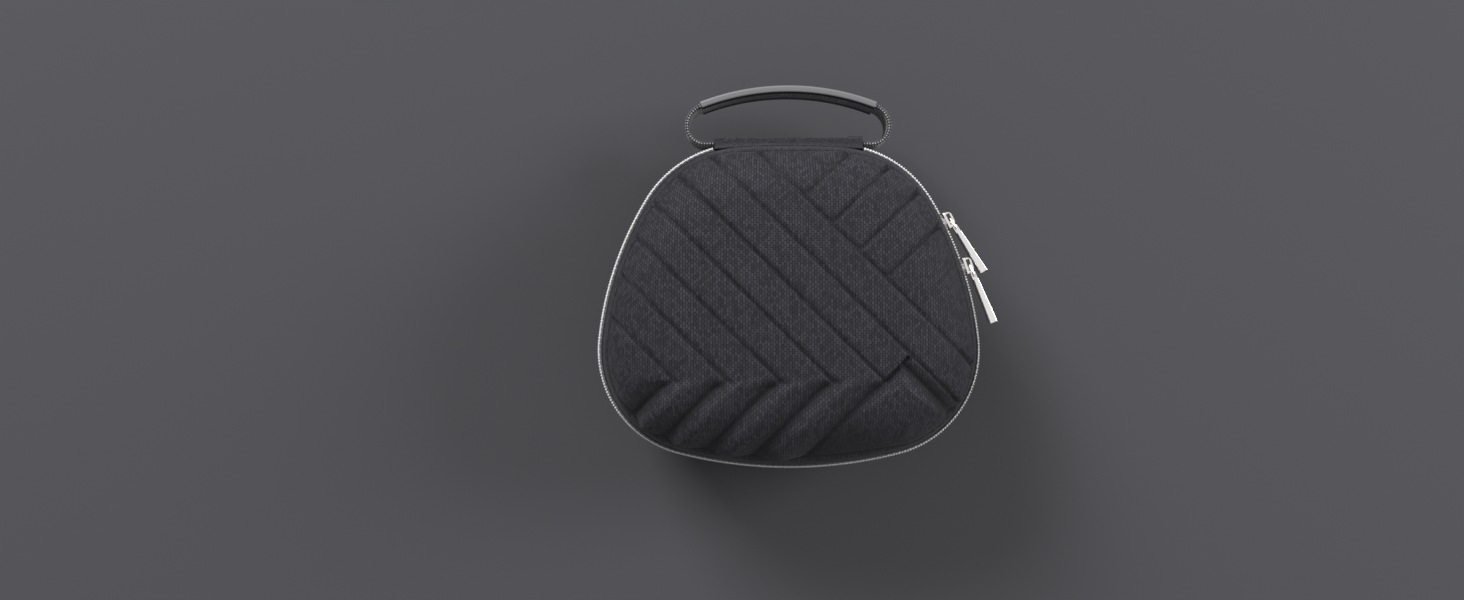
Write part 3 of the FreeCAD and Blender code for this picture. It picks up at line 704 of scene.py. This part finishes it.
@dataclass
class ChevronRelief:
    """The pressed pattern: light lines over the lid, deep pleats along its front.

    Places are seen from above: lines lie along x + y or y - x, creases along x - y.
    """

    first_line: float = -92.0 * MM
    line_pitch: float = 25.42 * MM
    line_count: int = 7
    right_first: float = -34.8 * MM
    right_pitch: float = 26.6 * MM
    right_count: int = 4
    line_depth: float = 0.9 * MM
    line_half: float = 1.15 * MM
    line_swell: float = 0.35 * MM
    vee_line: float = 61.6 * MM
    vee_soft: float = 2.5 * MM
    crown_level: float = 79.0 * MM
    shoulder_drop: float = 11.0 * MM
    shoulder_gain: float = 1.1
    row_y: float = -35.5 * MM
    row_soft: float = 5.0 * MM
    last_point: float = 45.8 * MM
    creases: tuple = (-22.0 * MM, 4.0 * MM, 31.0 * MM, 57.0 * MM, 83.2 * MM)
    crease_soft: float = 1.0 * MM
    peak_line: float = 27.0 * MM
    peak_beyond: float = 7.5 * MM
    peak_soft: float = 1.5 * MM
    arm_lead: float = 8.0 * MM
    arm_run: float = 48.0 * MM
    pleat_low: float = -1.5 * MM
    pleat_high: float = 1.35 * MM
    pleat_flat: float = 0.6 * MM
    pleat_crest: float = 8.0 * MM
    pleat_round: float = 0.6
    pleat_dip: float = 0.75 * MM
    dip_half: float = 1.5 * MM
    first_lead: float = 11.0 * MM
    last_run: float = 60.0 * MM

    def lines(self, place: Array, start: float, pitch: float, count: int) -> Array:
        """Return the height of a family of light lines.

        Args:
            place: the distance across the lines, unscaled.
            start: the first line's place.
            pitch: from one line to the next.
            count: how many lines.

        Returns:
            Heights, below zero in the lines.
        """
        height = np.zeros_like(place)
        for index in range(count):
            across = (place - start - index * pitch) / ROOT_2
            groove = np.exp(-(across / self.line_half) ** 2)
            swell = smoothstep(across / (2.0 * self.line_half)) * smoothstep(
                1 - across / (pitch / ROOT_2))
            height += swell * self.line_swell - groove * self.line_depth
        return height

    def fold(self, across: Array, length: float) -> Array:
        """Return one pleat's height from its crease over its crest and down again.

        Args:
            across: the distance from the crease.
            length: how far the pleat runs before it is down again.

        Returns:
            Heights over the skin.
        """
        rise = smoothstep((across - self.pleat_flat) / (self.pleat_crest - self.pleat_flat))
        fall = np.clip((across - self.pleat_crest) / (length - self.pleat_crest), 0, 1)
        left = 1 - smoothstep(fall) * self.pleat_round - fall * (1 - self.pleat_round)
        return self.pleat_low + (self.pleat_high - self.pleat_low) * rise * left

    def dip(self, across: Array) -> Array:
        """Return the narrow dip of a crease."""
        return -self.pleat_dip * np.exp(-(across / self.dip_half) ** 2)

    def pleats(self, x: Array, y: Array) -> Array:
        """Return the height of the deep pleats, as if they ran over the whole lid.

        Args:
            x: the skin's places to the right.
            y: the skin's places to the back.

        Returns:
            Heights over the skin.
        """
        place = (x - y) / ROOT_2
        starts = [crease / ROOT_2 for crease in self.creases]
        lead = smoothstep(1 + (place - starts[0]) / self.first_lead) * self.pleat_low
        height = np.where(place < starts[0], lead, 0.0)
        for start, end in zip(starts, starts[1:] + [starts[-1] + self.last_run]):
            inside = (place >= start) & (place < end)
            height = np.where(inside, self.fold(place - start, end - start), height)
        return height + sum(self.dip(place - start) for start in starts)

    def peak_arm(self, x: Array, y: Array) -> Array:
        """Return the pleat of the last point's right arm.

        Args:
            x: the skin's places to the right.
            y: the skin's places to the back.

        Returns:
            Heights over the skin.
        """
        across = (self.peak_line - x - y) / ROOT_2
        outside = self.pleat_low * smoothstep(1 + across / self.arm_lead)
        return np.where(across > 0, self.fold(across, self.arm_run), outside) + self.dip(across)

    def height(self, points: Array) -> Array:
        """Return the relief's height over the skin, laid out as it is seen from above.

        Args:
            points: the skin, rows by columns by three.

        Returns:
            Heights along the skin's normal.
        """
        across, along = (place * MM for place in CAMERA_PLACE_MM)
        reach = CAMERA_REACH_MM * MM
        shift = reach / (reach + ZIP_PLANE_MM * MM - points[:, :, 2])
        x = across + (points[:, :, 0] - across) * shift
        y = along + (points[:, :, 1] - along) * shift
        shoulder = smoothstep((self.crown_level - points[:, :, 2]) / self.shoulder_drop)
        light = self.lines(x + y, self.first_line, self.line_pitch, self.line_count)
        right = self.lines(y - x, self.right_first, self.right_pitch, self.right_count)
        past_vee = smoothstep((x + y - self.vee_line) / self.vee_soft)
        upper = (light * (1 - past_vee) + right * past_vee) * (1 + self.shoulder_gain * shoulder)
        deep = self.pleats(x, y)
        past_crease = x - y - self.creases[-1]
        peak = np.maximum(np.minimum(deep, self.peak_arm(x, y)), self.pleat_low - self.pleat_dip)
        deep = np.where(past_crease > 0, peak, deep)
        below_row = smoothstep((self.row_y - y) / self.row_soft)
        under_peak = smoothstep((self.peak_line + self.peak_beyond - x - y) / self.peak_soft)
        under_peak *= smoothstep(1 + past_crease / self.crease_soft)
        share = np.where(x > self.last_point, under_peak, below_row)
        return upper * (1 - share) + deep * share


# The two shells

@dataclass
class Shells:
    """The moulded lid and base, cloth outside and lining inside.

    Rows are counted up the wall, round the edge and over the crown or the floor.
    """

    outline: Outline
    wall: float = 2.6 * MM
    lid_rim: float = 50.0 * MM
    base_rim: float = 42.0 * MM
    top: float = 87.0 * MM
    crown: float = 450.0 * MM
    lid_edge: float = 30.0 * MM
    base_edge: float = 34.0 * MM
    columns: int = 640
    lid_rows: tuple = (4, 42, 74)
    lid_lining_rows: tuple = (2, 7, 6)
    base_rows: tuple = (4, 20, 14)
    base_lining_rows: tuple = (2, 7, 4)
    rim_crease: float = 0.46
    rim_spread: float = 0.026
    rim_depth: float = 0.7 * MM
    fade_start: float = 0.37
    fade_run: float = 0.1
    deepest: float = 2.3 * MM
    # How deep the relief must sink for the painted crease shade to be full
    painted_shade_full_depth: float = 2.2 * MM
    sharp: float = 60.0

    def lid_profile(self, depth: float, counts: tuple) -> tuple:
        """Return the lid's skin, set in by a depth, from its rim to its pole.

        Args:
            depth: how far the skin is set in.
            counts: how many rows each part has.

        Returns:
            Points, skin directions and cloth places, rows by columns.
        """
        wall_rows, edge_rows, cap_rows = counts
        line, normals, _ = self.outline.sample(self.columns + 1)
        radius, crown_radius = self.lid_edge - depth, self.crown - depth
        crown_z = self.top - self.crown
        ball = line - normals * self.lid_edge
        ball_z = crown_z + np.sqrt((crown_radius - radius) ** 2 - (ball ** 2).sum(1))
        flat, centre = with_column(normals, 0.0), np.c_[ball, ball_z]
        lift = centre - [0, 0, crown_z]
        lift /= np.linalg.norm(lift, axis=1)[:, None]
        rows, faces = [], []
        for share in np.linspace(0, 1, wall_rows, endpoint=False):
            height = self.lid_rim + (ball_z - self.lid_rim) * share
            rows.append(np.c_[line - normals * depth, height])
            faces.append(flat)
        angle = np.arccos(np.clip((flat * lift).sum(1), -1, 1))[:, None]
        for share in np.linspace(0, 1, edge_rows, endpoint=False):
            flat_share = np.sin((1 - share) * angle) / np.sin(angle)
            faces.append(flat * flat_share + lift * (np.sin(share * angle) / np.sin(angle)))
            rows.append(centre + faces[-1] * radius)
        ring = centre + lift * radius
        for share in np.linspace(0, 1, cap_rows):
            plan = ring[:, :2] * (1 - share) + POLE * share
            rows.append(np.c_[plan, crown_z + np.sqrt(crown_radius ** 2 - (plan ** 2).sum(1))])
            faces.append((rows[-1] - [0, 0, crown_z]) / crown_radius)
        points, directions = np.array(rows), np.array(faces)
        return points, directions, self.cloth_places(points, wall_rows + edge_rows, normals)

    def base_profile(self, depth: float, counts: tuple) -> tuple:
        """Return the base's skin, set in by a depth, from its rim to its floor's middle.

        Args:
            depth: how far the skin is set in.
            counts: how many rows each part has.

        Returns:
            Points and cloth places, rows by columns.
        """
        wall_rows, edge_rows, cap_rows = counts
        line, normals, _ = self.outline.sample(self.columns // 2 + 1)
        radius = self.base_edge - depth
        rows = []
        for share in np.linspace(0, 1, wall_rows, endpoint=False):
            height = self.base_rim + (self.base_edge - self.base_rim) * share
            rows.append(with_column(line - normals * depth, height))
        for angle in np.linspace(0, math.pi / 2, edge_rows, endpoint=False):
            plan = line - normals * (self.base_edge - radius * math.cos(angle))
            rows.append(with_column(plan, self.base_edge - radius * math.sin(angle)))
        ring = line - normals * self.base_edge
        for share in np.linspace(0, 1, cap_rows):
            rows.append(with_column(ring * (1 - share) + POLE * share, depth))
        points = np.array(rows)
        return points, self.cloth_places(points, wall_rows + edge_rows, normals)

    @staticmethod
    def cloth_places(points: Array, first_cap_row: int, normals: Array) -> Array:
        """Lay the cloth flat over the crown and down the walls without stretching it.

        Args:
            points: the skin, rows by columns.
            first_cap_row: the first row of the crown.
            normals: the outline's outward normals.

        Returns:
            Cloth places in metres, rows by columns by two.
        """
        places = points[:, :, :2].copy()
        for row in range(first_cap_row - 1, -1, -1):
            step = np.linalg.norm(points[row + 1] - points[row], axis=1)
            places[row] = places[row + 1] + normals * step[:, None]
        return places

    def lid(self, relief: ChevronRelief) -> Piece:
        """Return the lid as one closed shell.

        Args:
            relief: the pattern pressed into its cloth.

        Returns:
            The piece, with an attribute that tells how deep a point lies in a crease, which paints
            shade into its colour there.
        """
        outer, directions, outer_uv = self.lid_profile(0.0, self.lid_rows)
        inner, _, inner_uv = self.lid_profile(self.wall, self.lid_lining_rows)
        lean = directions[:, :, 2]
        fade = smoothstep((lean - self.fade_start) / self.fade_run)
        rim = np.exp(-((lean - self.rim_crease) / self.rim_spread) ** 2)
        height = np.maximum(relief.height(outer) * fade - rim * self.rim_depth, -self.deepest)
        outer = outer + directions * height[:, :, None]
        # Painted shade: how dark the cloth is painted, from the relief's depth and the rim's
        # crease
        depth = np.clip(np.maximum(-height / self.painted_shade_full_depth, rim), 0, 1)
        return grid_piece("lid_cloth_shell", np.concatenate([outer[::-1], inner]),
                          np.concatenate([outer_uv[::-1], inner_uv]), self.sharp,
                          np.concatenate([depth[::-1], np.zeros(inner.shape[:2])]))

    def base(self) -> Piece:
        """Return the base as one closed shell."""
        outer, outer_uv = self.base_profile(0.0, self.base_rows)
        inner, inner_uv = self.base_profile(self.wall, self.base_lining_rows)
        return grid_piece("base_cloth_shell", np.concatenate([outer[::-1], inner]),
                          np.concatenate([outer_uv[::-1], inner_uv]), self.sharp)


# The zipper

@dataclass
class Zipper:
    """The tapes, the coils' turns and the seams that run round the case."""

    outline: Outline
    plane: float = ZIP_PLANE_MM * MM
    hinge_half: float = 36.3 * MM
    tape_out: float = 1.7 * MM
    tape_thin: float = 0.55 * MM
    tape_soft: float = 0.45 * MM
    tape_gap: float = 2.6 * MM
    base_width: float = 4.9 * MM
    lid_width: float = 7.9 * MM
    pitch: float = 1.35 * MM
    tooth_reach: float = 2.6 * MM
    tooth_depth: float = 2.0 * MM
    tooth_width: float = 0.86 * MM
    tooth_bevel: float = 0.2 * MM
    tooth_out: float = 2.0 * MM
    tooth_lift: float = 1.15 * MM
    stitch_pitch: float = 2.6 * MM
    stitch_length: float = 1.9 * MM
    stitch_radius: float = 0.22 * MM
    stitch_bevel: float = 0.12 * MM
    seam_inset: float = 1.0 * MM
    columns: int = 360

    def tape(self, name: str, coil_edge: float, shell_edge: float) -> Piece:
        """Return one tape, full at the coil and thin where it is sewn to the shell.

        Args:
            name: the piece's name.
            coil_edge: the height of its edge at the coil.
            shell_edge: the height of its edge on the shell.

        Returns:
            The tape, closed at both ends.
        """
        away = 1 if shell_edge > coil_edge else -1
        out, thin, soft = self.tape_out, self.tape_thin, self.tape_soft
        profile = [(0.0, coil_edge), (out - soft, coil_edge),
                   (out - soft * 0.3, coil_edge + away * soft * 0.3),
                   (out, coil_edge + away * soft),
                   (out - 0.05 * MM, coil_edge + away * 1.5 * MM),
                   ((out + thin) / 2, (coil_edge + shell_edge) / 2),
                   (thin + 0.1 * MM, shell_edge - away * 1.3 * MM),
                   (thin, shell_edge - away * soft), (thin - 0.2 * MM, shell_edge),
                   (0.0, shell_edge)][::away]
        line, normals, along = self.outline.sample(self.columns, self.hinge_half)
        corners = np.array(profile + profile[:1])
        rows = np.array([with_column(line + normals * offset, height)
                         for offset, height in corners])
        return capped_piece(name, rows, rows[:-1].mean(axis=0), along, distances(corners), 35.0)

    def fitting(self, pitch: float) -> int:
        """Return how many times a pitch fits along the open part of the zip line."""
        _, _, along = self.outline.sample(2, self.hinge_half)
        return int((along[-1] - along[0]) / pitch)

    @staticmethod
    def row(name: str, seed: Piece, line: Array, normals: Array,
            offset: float, height: float) -> Piece:
        """Repeat a seed along a line, its X outwards and its Y along the line.

        Args:
            name: the piece's name.
            seed: the mesh that is repeated.
            line: the places.
            normals: their outward normals.
            offset: how far out of the line the seeds stand.
            height: their height.

        Returns:
            The row as one mesh.
        """
        frames = []
        for outward, spot in zip(normals, line):
            place = np.eye(4)
            place[:2, 0] = outward
            place[:2, 1] = (-outward[1], outward[0])
            place[:3, 3] = (*(spot + outward * offset), height)
            frames.append(place)
        return scattered(name, seed, frames)

    def teeth(self, name: str, up: int) -> Piece:
        """Return one coil's row of turns.

        Args:
            name: the piece's name.
            up: 1 for the lid's coil, -1 for the base's, which sits half a pitch on.

        Returns:
            The row of turns as one mesh.
        """
        line, normals, _ = self.outline.sample(2 * self.fitting(self.pitch) + 1, self.hinge_half)
        first = 0 if up > 0 else 1
        seed = rod_seed(8, 0.5 * MM, self.tooth_reach, self.tooth_bevel,
                        (self.tooth_depth / MM, self.tooth_width / MM, 1.0))
        return self.row(name, seed, line[first::2], normals[first::2], self.tooth_out,
                        self.plane + up * self.tooth_lift)

    def seam(self, name: str, offset: float, height: float) -> Piece:
        """Return a row of stitches round the case.

        Args:
            name: the piece's name.
            offset: how far out of the wall the stitches lie.
            height: their height.

        Returns:
            The stitches as one mesh.
        """
        line, normals, _ = self.outline.sample(self.fitting(self.stitch_pitch),
                                               self.hinge_half + self.seam_inset)
        seed = rod_seed(6, self.stitch_radius, self.stitch_length, self.stitch_bevel,
                        turn=(math.pi / 2, 0, 0))
        return self.row(name, seed, line, normals, offset, height)

    def build(self, finishes: dict) -> None:
        """Make and dress every piece of the zipper.

        Args:
            finishes: the materials by their Finish.
        """
        low, high = self.plane - self.tape_gap, self.plane + self.tape_gap
        low_edge, high_edge = low - self.base_width, high + self.lid_width
        for body, coil_edge, shell_edge in (("base", low, low_edge), ("lid", high, high_edge)):
            tape = self.tape(f"{body}_woven_tape", coil_edge, shell_edge)
            dress(tape, finishes[Finish.TAPE], body, (f"{body}_zip_tape",))
        for body, up in (("base", -1), ("lid", 1)):
            teeth = self.teeth(f"{body}_coil_turns", up)
            dress(teeth, finishes[Finish.COIL], body, (f"{body}_zip_coil",))
        seams = (("base_tape_seam", 0.7 * MM, low_edge + 1.1 * MM, "base"),
                 ("lid_tape_seam", 0.68 * MM, high_edge - 1.2 * MM, "lid"),
                 ("lid_tape_inner_seam", 1.62 * MM, high + 1.6 * MM, "lid"))
        for name, offset, height, body in seams:
            dress(self.seam(name, offset, height), finishes[Finish.THREAD], body)


# The hinge

@dataclass
class Hinge:
    """The cloth leaf that the lid folds on, and the sleeve that holds the webbing."""

    outline: Outline
    half: float = 36.0 * MM
    leaf_inset: float = 0.3 * MM
    tab_inner: float = 29.5 * MM
    fold_y: float = 81.15 * MM
    leaf_low: float = 46.3 * MM
    leaf_high: float = 56.5 * MM
    rim: float = 50.0 * MM
    sleeve_low: float = 21.3 * MM
    sleeve_high: float = 45.7 * MM
    sleeve_y: float = 81.45 * MM
    tab_y: float = 82.25 * MM
    tab_below: float = 0.8 * MM
    soft_edge: float = 1.5 * MM
    stitch_depth: float = 0.25 * MM
    wall_bite: float = 1.0 * MM
    columns: int = 73

    def wall(self, x: Array) -> Array:
        """Return the wall's y at each x of the hinge edge."""
        return self.outline.length / 2 - self.outline.back + np.sqrt(
            self.outline.back ** 2 - x ** 2)

    def swept(self, name: str, start: float, end: float, profile: list,
              middle: tuple) -> Piece:
        """Sweep a profile along the hinge and close both ends.

        Args:
            name: the piece's name.
            start: where it begins in x.
            end: where it ends in x.
            profile: corners as a share of the wall's y, an offset and a height.
            middle: the point that closes an end, told in the same way.

        Returns:
            The piece.
        """
        x = np.linspace(start, end, self.columns)
        *rows, hub = (with_column(np.c_[x, share * self.wall(x) + offset], height)
                      for share, offset, height in profile + profile[:1] + [middle])
        around = distances(np.array([row[0, 1:] for row in rows]))
        return capped_piece(name, np.array(rows), hub, x, around, 45.0)

    def leaf(self) -> Piece:
        """Return the leaf: a folded shelf and an upstand along the lid's wall."""
        fold, low, high = self.fold_y, self.leaf_low, self.leaf_high
        profile = [(0, fold - 0.5 * MM, low), (0, fold - 0.1 * MM, low + 0.25 * MM),
                   (0, fold, low + 0.7 * MM), (0, fold - 0.15 * MM, low + 1.15 * MM),
                   (0, fold - 0.7 * MM, low + 1.4 * MM),
                   (0.5, fold / 2 + 0.6 * MM, low + 1.25 * MM),
                   (1, 2.2 * MM, low + 1.5 * MM), (1, 1.5 * MM, low + 2.1 * MM),
                   (1, 1.1 * MM, low + 3.2 * MM), (1, 1.0 * MM, low + 6.5 * MM),
                   (1, 0.85 * MM, high - 0.5 * MM), (1, 0.5 * MM, high), (1, -0.1 * MM, high),
                   (1, -0.1 * MM, self.rim), (1, -1.2 * MM, self.rim), (1, -1.2 * MM, low)]
        end = self.half - self.leaf_inset
        return self.swept("lid_leaf_cloth", -end, end, profile, (1, 0.4 * MM, low + 0.6 * MM))

    def edge(self, outer: float, height: float, first: float) -> list:
        """Return the soft edge of a block.

        Args:
            outer: the block's outer face in y.
            height: the height of the edge's centre.
            first: the angle at which its quarter turn begins.

        Returns:
            Profile corners.
        """
        return [(0, outer - self.soft_edge + self.soft_edge * math.cos(angle),
                 height + self.soft_edge * math.sin(angle))
                for angle in np.linspace(first, first + math.pi / 2, 6)]

    def block(self, name: str, ends: tuple, outer: float, low: float) -> Piece:
        """Return a soft block against the base's wall, with a stitch line near its foot.

        Args:
            name: the piece's name.
            ends: where it begins and ends in x.
            outer: its outer face in y.
            low: its lower edge.

        Returns:
            The block.
        """
        high = self.sleeve_high
        first, last = low + self.soft_edge, high - self.soft_edge
        profile = [(1, -self.wall_bite, low)] + self.edge(outer, first, -math.pi / 2)
        for share in np.linspace(0.1, 0.9, 9):
            stitch = self.stitch_depth * math.exp(-((share - 0.1) / 0.06) ** 2)
            profile.append((0, outer - stitch, first + (last - first) * share))
        profile += self.edge(outer, last, 0.0) + [(1, -self.wall_bite, high)]
        return self.swept(name, *ends, profile, (0.5, outer / 2, (low + high) / 2))

    def build(self, finishes: dict) -> None:
        """Make and dress the leaf, the sleeve and its two end tabs.

        Args:
            finishes: the materials by their Finish.
        """
        cloth = finishes[Finish.HINGE]
        dress(self.leaf(), cloth, "lid", ("lid_hinge_leaf",))
        sleeve = self.block("sleeve_cloth", (-self.tab_inner, self.tab_inner), self.sleeve_y,
                            self.sleeve_low)
        dress(sleeve, cloth, "base", ("hinge_sleeve",))
        for side, ends in (("left", (-self.half, -self.tab_inner)),
                           ("right", (self.tab_inner, self.half))):
            tab = self.block(f"{side}_tab_cloth", ends, self.tab_y,
                             self.sleeve_low - self.tab_below)
            dress(tab, cloth, "base", (f"{side}_end_tab",))


# The handle's strap

@dataclass
class Strap:
    """The flat webbing that runs through the sleeve and under the grip."""

    width: float = 20.0 * MM
    thickness: float = 2.0 * MM
    soft_edge: float = 0.6 * MM
    y: float = 78.45 * MM
    z: float = 33.5 * MM
    lower_bend: float = 8.6 * MM
    upper_bend: float = 10.8 * MM
    grip_radius: float = 118.2 * MM
    grip_half_angle: float = math.radians(21.0)
    blend_start: float = 1.2 * MM

    def half_line(self) -> Array:
        """Return the right half of the strap's line, from the sleeve's middle to the grip's."""
        rise = math.pi / 2 - self.grip_half_angle
        end_x = self.grip_radius * math.sin(self.grip_half_angle)
        out_x = end_x + self.upper_bend * (1 - math.cos(rise))
        bend_y = self.y + self.lower_bend
        end_y = bend_y + self.upper_bend * math.sin(rise)
        arch_y = end_y - self.grip_radius * math.cos(self.grip_half_angle)
        line = [(x, self.y) for x in np.linspace(0, out_x - self.lower_bend, 24, endpoint=False)]
        for radius, first, last, count in ((self.lower_bend, -math.pi / 2, 0.0, 20),
                                           (self.upper_bend, 0.0, rise, 18)):
            line += [(out_x - radius + radius * math.cos(angle), bend_y + radius * math.sin(angle))
                     for angle in np.linspace(first, last, count, endpoint=False)]
        line += [(self.grip_radius * math.sin(angle), arch_y + self.grip_radius * math.cos(angle))
                 for angle in np.linspace(self.grip_half_angle, 0, 26)]
        return np.array(line)

    def mesh(self) -> Piece:
        """Return the strap as one closed loop of flat webbing."""
        half = self.half_line()
        line = np.vstack([half, half[-2::-1] * [-1, 1]])
        along = distances(line)
        tangent = np.gradient(line, along, axis=0)
        tangent /= np.hypot(*tangent.T)[:, None]
        normal = np.c_[tangent[:, 1], -tangent[:, 0]]
        out, side = self.thickness / 2, self.width / 2
        across = np.linspace(self.soft_edge - side, side - self.soft_edge, 9)
        profile = [(out, z) for z in across] + [(out * 0.6, side), (-out * 0.6, side)]
        profile += [(-out, z) for z in across[::-1]] + [(-out * 0.6, -side), (out * 0.6, -side)]
        profile = np.array(profile + profile[:1])
        rows = [with_column(line + normal * offset, self.z + z) for offset, z in profile]
        uv = [with_column(along, step) for step in distances(profile)]
        return grid_piece("handle_strap", np.array(rows), np.array(uv), 50.0)

    def build(self, finishes: dict) -> None:
        """Make the strap, which bends where it leaves the sleeve.

        Args:
            finishes: the materials by their Finish.
        """
        strap = self.mesh()
        cover(strap, finishes[Finish.WEBBING])
        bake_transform(strap)
        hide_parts("held_webbing", "handle_webbing")


# Camera, lights and floor

@dataclass
class Studio:
    """The camera at the photograph's angle, soft lights and a grey floor."""

    floor_size: float = 14.0
    floor_colour: tuple = (0.055, 0.055, 0.062)
    floor_roughness: float = 0.85
    backdrop_colour: tuple = (0.07, 0.07, 0.078)
    mirrored_colour: tuple = (0.93, 0.93, 0.94)
    sky_light: float = 0.3
    aim: tuple = (0.0, 0.0, 0.04)
    reach: float = CAMERA_REACH_MM * MM

    def camera(self) -> None:
        """Place the camera straight above the case, framed as in the photograph."""
        data = bpy.data.cameras.new("camera")
        camera = bpy.data.objects.new("camera", data)
        bpy.context.collection.objects.link(camera)
        data.sensor_width = SENSOR_MM
        data.lens = SENSOR_MM * self.reach / (PHOTO_WIDTH_PX * MM_PER_PX * MM)
        data.clip_start = 0.01
        data.clip_end = 20.0
        across, along = CAMERA_PLACE_MM
        camera.location = (across * MM, along * MM, ZIP_PLANE_MM * MM + self.reach)
        camera.rotation_euler = (0, 0, 0)
        bpy.context.scene.camera = camera

    def lamp(self, name: str, place: tuple, power: float, size: float) -> None:
        """Add one square area light that faces the case.

        Args:
            name: the light's name.
            place: where it stands.
            power: its power in watts.
            size: the length of its side.
        """
        data = bpy.data.lights.new(name, "AREA")
        data.energy = power
        data.size = size
        lamp = bpy.data.objects.new(name, data)
        bpy.context.collection.objects.link(lamp)
        lamp.location = place
        facing = Vector(self.aim) - Vector(place)
        lamp.rotation_euler = facing.to_track_quat("-Z", "Y").to_euler()

    def floor(self) -> None:
        """Add the grey floor that takes the case's shadow."""
        deselect()
        bpy.ops.mesh.primitive_plane_add(size=self.floor_size)
        floor = bpy.context.object
        floor.name = "floor"
        floor.data.materials.append(Nodes("grey_floor").finish(
            {}, Base_Color=(*self.floor_colour, 1), Roughness=self.floor_roughness))

    def world(self) -> None:
        """Light the case evenly, show metal a pale sky and the camera a grey backdrop."""
        world = bpy.data.worlds.new("world")
        bpy.context.scene.world = world
        world.use_nodes = True
        tree = world.node_tree
        tree.nodes.clear()
        output = tree.nodes.new("ShaderNodeOutputWorld")
        rays = tree.nodes.new("ShaderNodeLightPath")
        shown = self.sky(tree, (1.0, 1.0, 1.0), self.sky_light)
        for ray, colour in (("Is Glossy Ray", self.mirrored_colour),
                            ("Is Camera Ray", self.backdrop_colour)):
            mix = tree.nodes.new("ShaderNodeMixShader")
            tree.links.new(rays.outputs[ray], mix.inputs["Fac"])
            tree.links.new(shown, mix.inputs[1])
            tree.links.new(self.sky(tree, colour, 1.0), mix.inputs[2])
            shown = mix.outputs[0]
        tree.links.new(shown, output.inputs["Surface"])

    @staticmethod
    def sky(tree: bpy.types.NodeTree, colour: tuple, strength: float) -> Socket:
        """Add one plain sky to the world.

        Args:
            tree: the world's node tree.
            colour: the sky's colour.
            strength: its brightness.

        Returns:
            The sky's shader.
        """
        node = tree.nodes.new("ShaderNodeBackground")
        node.inputs["Color"].default_value = (*colour, 1)
        node.inputs["Strength"].default_value = strength
        return node.outputs[0]

    def build(self) -> None:
        """Make the camera, the world, the lights and the floor."""
        self.camera()
        self.world()
        self.lamp("key", (-1.9, 2.8, 1.9), 170.0, 1.6)
        self.lamp("fill", (3.0, 0.9, 1.6), 85.0, 1.4)
        self.floor()
        bpy.context.scene.view_settings.view_transform = "Standard"


def dress_nodes(finishes: dict) -> None:
    """Give each CAD node that stays in view its finish.

    Args:
        finishes: the materials by their Finish.
    """
    kept = {
        Finish.LINING: ("base_cradle", "lid_insert"),
        Finish.BINDING: ("base_binding", "lid_binding"),
        Finish.GRIP: ("handle_grip",),
        Finish.METAL: ("upper_slider", "upper_pull_link", "upper_pull_tab",
                       "lower_slider", "lower_pull_link", "lower_pull_tab"),
    }
    for finish, names in kept.items():
        for name in names:
            cover(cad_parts[name], finishes[finish])


def main() -> None:
    """Build every sub-assembly in order."""
    logging.basicConfig(level=logging.INFO, format="%(name)s: %(message)s")
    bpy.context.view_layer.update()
    finishes = build_finishes()
    Studio().build()
    outline = Outline()
    shells = Shells(outline)
    dress(shells.lid(ChevronRelief()), finishes[Finish.SHELL], "lid",
          ("lid_shell",))
    dress(shells.base(), finishes[Finish.SHELL], "base", ("base_shell",))
    Zipper(outline).build(finishes)
    Hinge(outline).build(finishes)
    Strap().build(finishes)
    dress_nodes(finishes)


if __name__ == "__main__":
    main()
